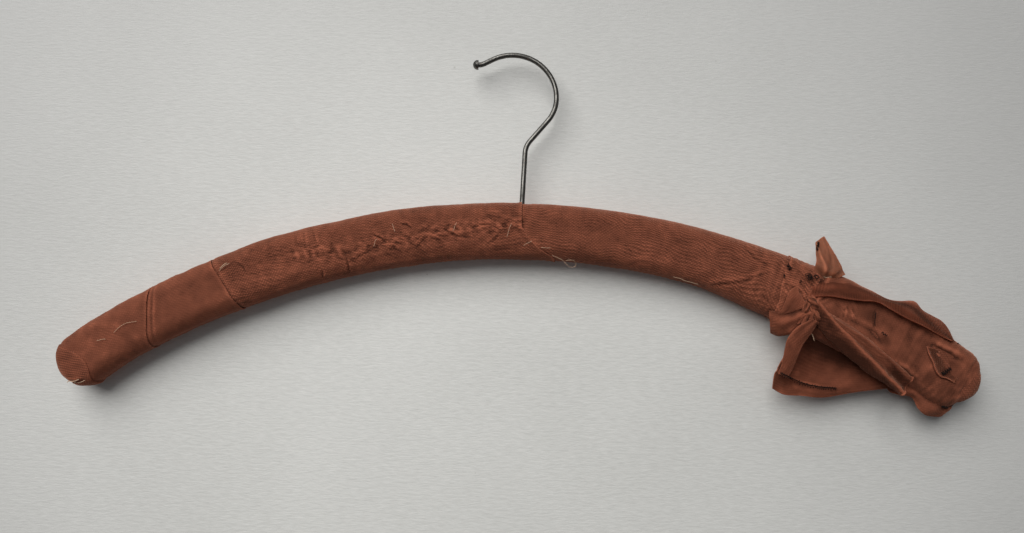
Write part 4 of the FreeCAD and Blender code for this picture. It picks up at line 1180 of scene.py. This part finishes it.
def tangle(centre, spread, seed, turns):
    """A snarl of thread inside an ellipse, its loops crossing each other."""
    rng = np.random.default_rng(seed)
    angle = np.arange(turns) * 2.3 + rng.uniform(-0.7, 0.7, turns)
    reach = rng.uniform(0.35, 1.0, turns)
    line = np.stack([np.cos(angle) * reach * spread[0], np.sin(angle) * reach * spread[1],
                     rng.uniform(0.0, 0.5, turns)], axis=-1)
    return line + np.array(centre)


def make_threads():
    """Overlock remnants, hand stitches and frayed ends."""
    cover_face = 10.2
    hem = [(139.8, -41.6, 9.6), (144.6, -41.4, 9.2), (149.6, -41.0, 4.4), (156.8, -40.4, 2.6),
           (163.2, -38.8, 2.2), (167.6, -37.3, 2.2), (172.6, -35.2, 2.4)]
    cores = [spline([(s, w + rise, p) for s, w, p in hem], np.linspace(0, 1, 30)) for rise in (0.55, 0.3)]
    finish(threads("hem_thread", [overlock(hem, 1.25, 0.85, 1), *cores], 0.10),
           DARK_THREAD, "dark_overlock_thread", "hem_stitches")
    bar = [tangle((125.6, 6.4, 9.7), (1.5, 1.6), 2, 13), tangle((124.9, 1.6, 9.7), (0.9, 1.2), 3, 6),
           tangle((135.6, 5.4, 10.6), (2.3, 1.9), 4, 17), tangle((138.6, 6.6, 10.6), (1.7, 1.2), 5, 9),
           tangle((132.8, 1.8, 10.3), (1.1, 1.0), 6, 6), tangle((146.6, 5.4, 10.0), (0.7, 0.9), 7, 6)]
    finish(threads("bar_thread", bar, 0.12), DARK_THREAD, "dark_overlock_thread", "bar_seam_stitches")
    ear = [(134.1, 22.6, 9.6), (134.4, 20.6, 9.8), (134.9, 18.6, 10.0)]
    finish(threads("ear_thread", [overlock(ear, 0.7, 0.55, 6)], 0.26), DARK_THREAD, "dark_overlock_thread",
           "upper_tail_stitches")
    dark = [overlock([(176.0, -3.2, cover_face), (179.0, -3.2, cover_face)], 0.8, 0.5, 7),
            overlock([(209.4, -4.9, 10.6), (210.2, -2.6, 10.2), (211.7, -0.1, 9.6)], 0.8, 0.9, 8),
            overlock([(220.4, -15.6, 4.4), (223.4, -14.4, 3.8)], 0.8, 0.5, 9),
            overlock([(209.5, 12.6, 6.4), (211.3, 12.8, 5.6)], 0.7, 0.6, 10),
            squiggle((169.8, 4.2, 9.9), (172.4, -1.9, 9.7), 11, 3, 0.3)]
    finish(threads("cover_thread", dark, 0.2), DARK_THREAD, "dark_overlock_thread", "cover_stitches")
    pale_left = [squiggle((-229.0, -7.0, 6.5), (-222.4, -9.6, 8.6), 12, 3, 0.5),
                 squiggle((-227.5, -9.0, 5.6), (-221.0, -11.0, 6.8), 13, 3, 0.4)]
    finish(threads("left_end_thread", pale_left, 0.2), PALE_THREAD, "pale_thread", "left_end_stitches")
    tack = [[(-143.0, 4.9, 8.9), (-141.4, 5.6, 9.5), (-139.4, 6.2, 9.5), (-137.4, 6.5, 8.8)],
            [(-142.4, 5.8, 8.9), (-141.0, 6.4, 9.4), (-139.6, 6.9, 9.4), (-138.4, 7.2, 8.8)]]
    finish(threads("tack_thread", tack, 0.13), PALE_THREAD, "pale_thread", "left_tack_stitch")
    loose = [squiggle((-206.5, 1.2, 8.9), (-202.6, -0.4, 8.9), 14, 2, 0.3),
             [(-198.0, 0.2, 9.0), (-194.6, 1.2, 9.0), (-190.8, 1.2, 9.0), (-186.4, -0.4, 9.0)],
             squiggle((-60.5, 5.6, 9.0), (-59.6, 1.4, 9.3), 16),
             squiggle((-33.0, -1.6, 9.3), (-30.6, 2.6, 9.3), 17),
             squiggle((-70.5, -4.0, 9.4), (-68.4, -0.8, 9.5), 18),
             squiggle((-7.0, -4.8, 9.0), (-4.8, 1.6, 9.3), 19),
             squiggle((9.5, -9.4, 9.0), (14.0, -9.4, 9.2), 20),
             squiggle((5.0, -6.4, 9.1), (1.0, -9.0, 9.2), 21),
             [(15.0, -12.6, 7.6), (20.0, -14.4, 7.0), (24.4, -17.4, 6.6), (27.2, -16.4, 6.8),
              (25.6, -14.2, 7.4), (22.0, -14.6, 7.4)],
             squiggle((75.5, -14.0, 6.0), (88.3, -14.4, 5.6), 23, 5, 0.5),
             squiggle((145.0, -17.5, 11.2), (149.0, -21.0, 10.6), 24, 3, 1.0),
             squiggle((141.4, 8.4, 10.8), (144.8, 9.4, 11.0), 25, 3, 0.5)]
    finish(threads("loose_thread", loose, 0.085), PALE_THREAD, "pale_thread", "loose_threads")


make_lining()
make_left_end()
make_centre()
make_binding()
make_cover()
make_knot()
make_tails()
make_threads()

for node, material in (("hook_wire", steel_material("steel_drawn", (0.155, 0.15, 0.14), 0.5)),
                       ("hook_washer", steel_material("steel_pressed", (0.42, 0.41, 0.39), 0.3, False)),
                       ("wood_bow", wood_material("beech"))):
    part = frame["nodes"][node]
    part.data.materials.clear()
    part.data.materials.append(material)
    part.data.shade_smooth()


# ----- the board, the light and the camera ------------------------------------------------


# How far the board gives way to a turning hook; and the camera's lens, its tilt and roll in
# degrees, and its place from the cover's top at the swivel axis, lengths in millimetres.
GIVE_WAY = 9.0
LENS = 25.31
TILT, ROLL = 6.0, 1.3
CAMERA_ACROSS, CAMERA_DEPTH, CAMERA_UP = -4.21, -344.16, -66.86


def board_material():
    """White painted board, brushed sideways; seen only from its painted side."""
    material, tree = new_material("painted_board")
    place = millimetres(tree)
    along = stretched(tree, place, (0.22, 1.0, 1.0))
    brush = mottle(tree, along, 1.1, 5.0, 0.7)
    broad = mottle(tree, place, 120.0, 2.0)
    specks = mottle(tree, place, 3.2, 1.0)
    total = scaled(tree, brush, 0.62, math_node(tree, "MULTIPLY", broad, 0.40))
    tone = ramp(tree, total, [(0.3, (0.62, 0.62, 0.60)), (0.6, (0.735, 0.735, 0.715)),
                              (0.8, (0.81, 0.805, 0.78))])
    # Painted shade: the board darkens away from a point low on the left, as the window light falls off
    # across it.
    gap = distance(tree, place, (-20.0, 10.0, -200.0))
    painted_light = rising(tree, gap, 60.0, 420.0, 0.75, "SMOOTHSTEP")
    tone = covered(tree, painted_light, tone, (0.42, 0.42, 0.42))
    fleck = rising(tree, specks, 0.80, 0.84, 0.5)
    tone = covered(tree, fleck, tone, (0.40, 0.39, 0.36))
    bumped = bump_normal(tree, brush, 0.6, 0.34)
    paint = add(tree, "BsdfPrincipled", None, Base_Color=tone, Roughness=0.55, Normal=bumped,
                Specular_IOR_Level=0.3).outputs[0]
    clear = add(tree, "BsdfTransparent").outputs[0]
    behind = add(tree, "NewGeometry").outputs["Backfacing"]
    out = add(tree, "MixShader", None, Fac=behind, i1=paint, i2=clear).outputs[0]
    add(tree, "OutputMaterial", None, Surface=out)
    return material


def make_board():
    """A wide board just behind the hanger, its painted side forwards.

    It casts no shadow, so that the light behind reaches the back of the hanger.
    """
    reach, depth, low, high = 1.6, BOARD_BACK * MM, -1.6, 1.3
    corners = [(-reach, depth, low), (reach, depth, low), (reach, depth, high), (-reach, depth, high)]
    mesh = bpy.data.meshes.new("board")
    mesh.from_pydata(corners, [], [(0, 1, 2, 3)])
    mesh.materials.append(board_material())
    board = bpy.data.objects.new("board", mesh)
    bpy.context.scene.collection.objects.link(board)
    board.visible_shadow = False
    stand_back(board)


def stand_back(board):
    """Let the board give way while the hook is turned across it.

    The hook's frame turns about the swivel axis, which lies beside its origin, so that origin
    swings forwards by the axis's distance at a quarter turn and is level again at a half turn.
    """
    follow = board.constraints.new("TRANSFORM")
    follow.target = frame["bodies"]["hook"]
    follow.map_from = "LOCATION"
    follow.map_to = "LOCATION"
    follow.map_to_y_from = "Y"
    follow.from_min_y = -SWIVEL * MM
    follow.from_max_y = 0.0
    follow.to_min_y = GIVE_WAY * MM
    follow.to_max_y = 0.0


def add_area(name, place, target, size, power, colour):
    data = bpy.data.lights.new(name, "AREA")
    data.shape = "DISK"
    data.size = size
    data.energy = power
    data.color = colour
    lamp = bpy.data.objects.new(name, data)
    lamp.location = place
    lamp.rotation_euler = (Vector(target) - Vector(place)).to_track_quat("-Z", "Y").to_euler()
    bpy.context.scene.collection.objects.link(lamp)


def light_scene():
    """Soft daylight from the front, high on the left, with a weak fill and a light behind."""
    middle = (SWIVEL * MM, 0.0, -0.11)
    add_area("window", (-0.75, -1.55, 0.95), middle, 2.0, 46.0, (1.0, 0.99, 0.965))
    add_area("fill", (0.2, -1.6, 0.1), middle, 1.8, 1.5, (0.95, 0.97, 1.0))
    add_area("behind", (0.3, 1.2, 0.9), middle, 1.2, 12.0, (1.0, 1.0, 1.0))
    world = bpy.data.worlds.new("surround")
    bpy.context.scene.world = world
    world.use_nodes = True
    sky = world.node_tree.nodes["Background"]
    sky.inputs["Color"].default_value = (0.86, 0.88, 0.90, 1)
    sky.inputs["Strength"].default_value = 0.09


def add_camera():
    """The view of a hanger lying on a board, seen from straight above its lower half."""
    data = bpy.data.cameras.new("camera")
    data.lens = LENS
    data.clip_start = 0.01
    camera = bpy.data.objects.new("camera", data)
    tilted = Matrix.Rotation(math.radians(90 + TILT), 4, "X")
    rolled = Matrix.Rotation(math.radians(ROLL), 4, "Z")
    top = ARC_CENTRE + BOW_RADIUS + COVER_HALF_HEIGHT
    place = Vector((SWIVEL + CAMERA_ACROSS, CAMERA_DEPTH, top + CAMERA_UP)) * MM
    camera.matrix_world = Matrix.Translation(place) @ tilted @ rolled
    bpy.context.scene.collection.objects.link(camera)
    bpy.context.scene.camera = camera


make_board()
light_scene()
add_camera()
bpy.context.scene.view_settings.view_transform = "Standard"
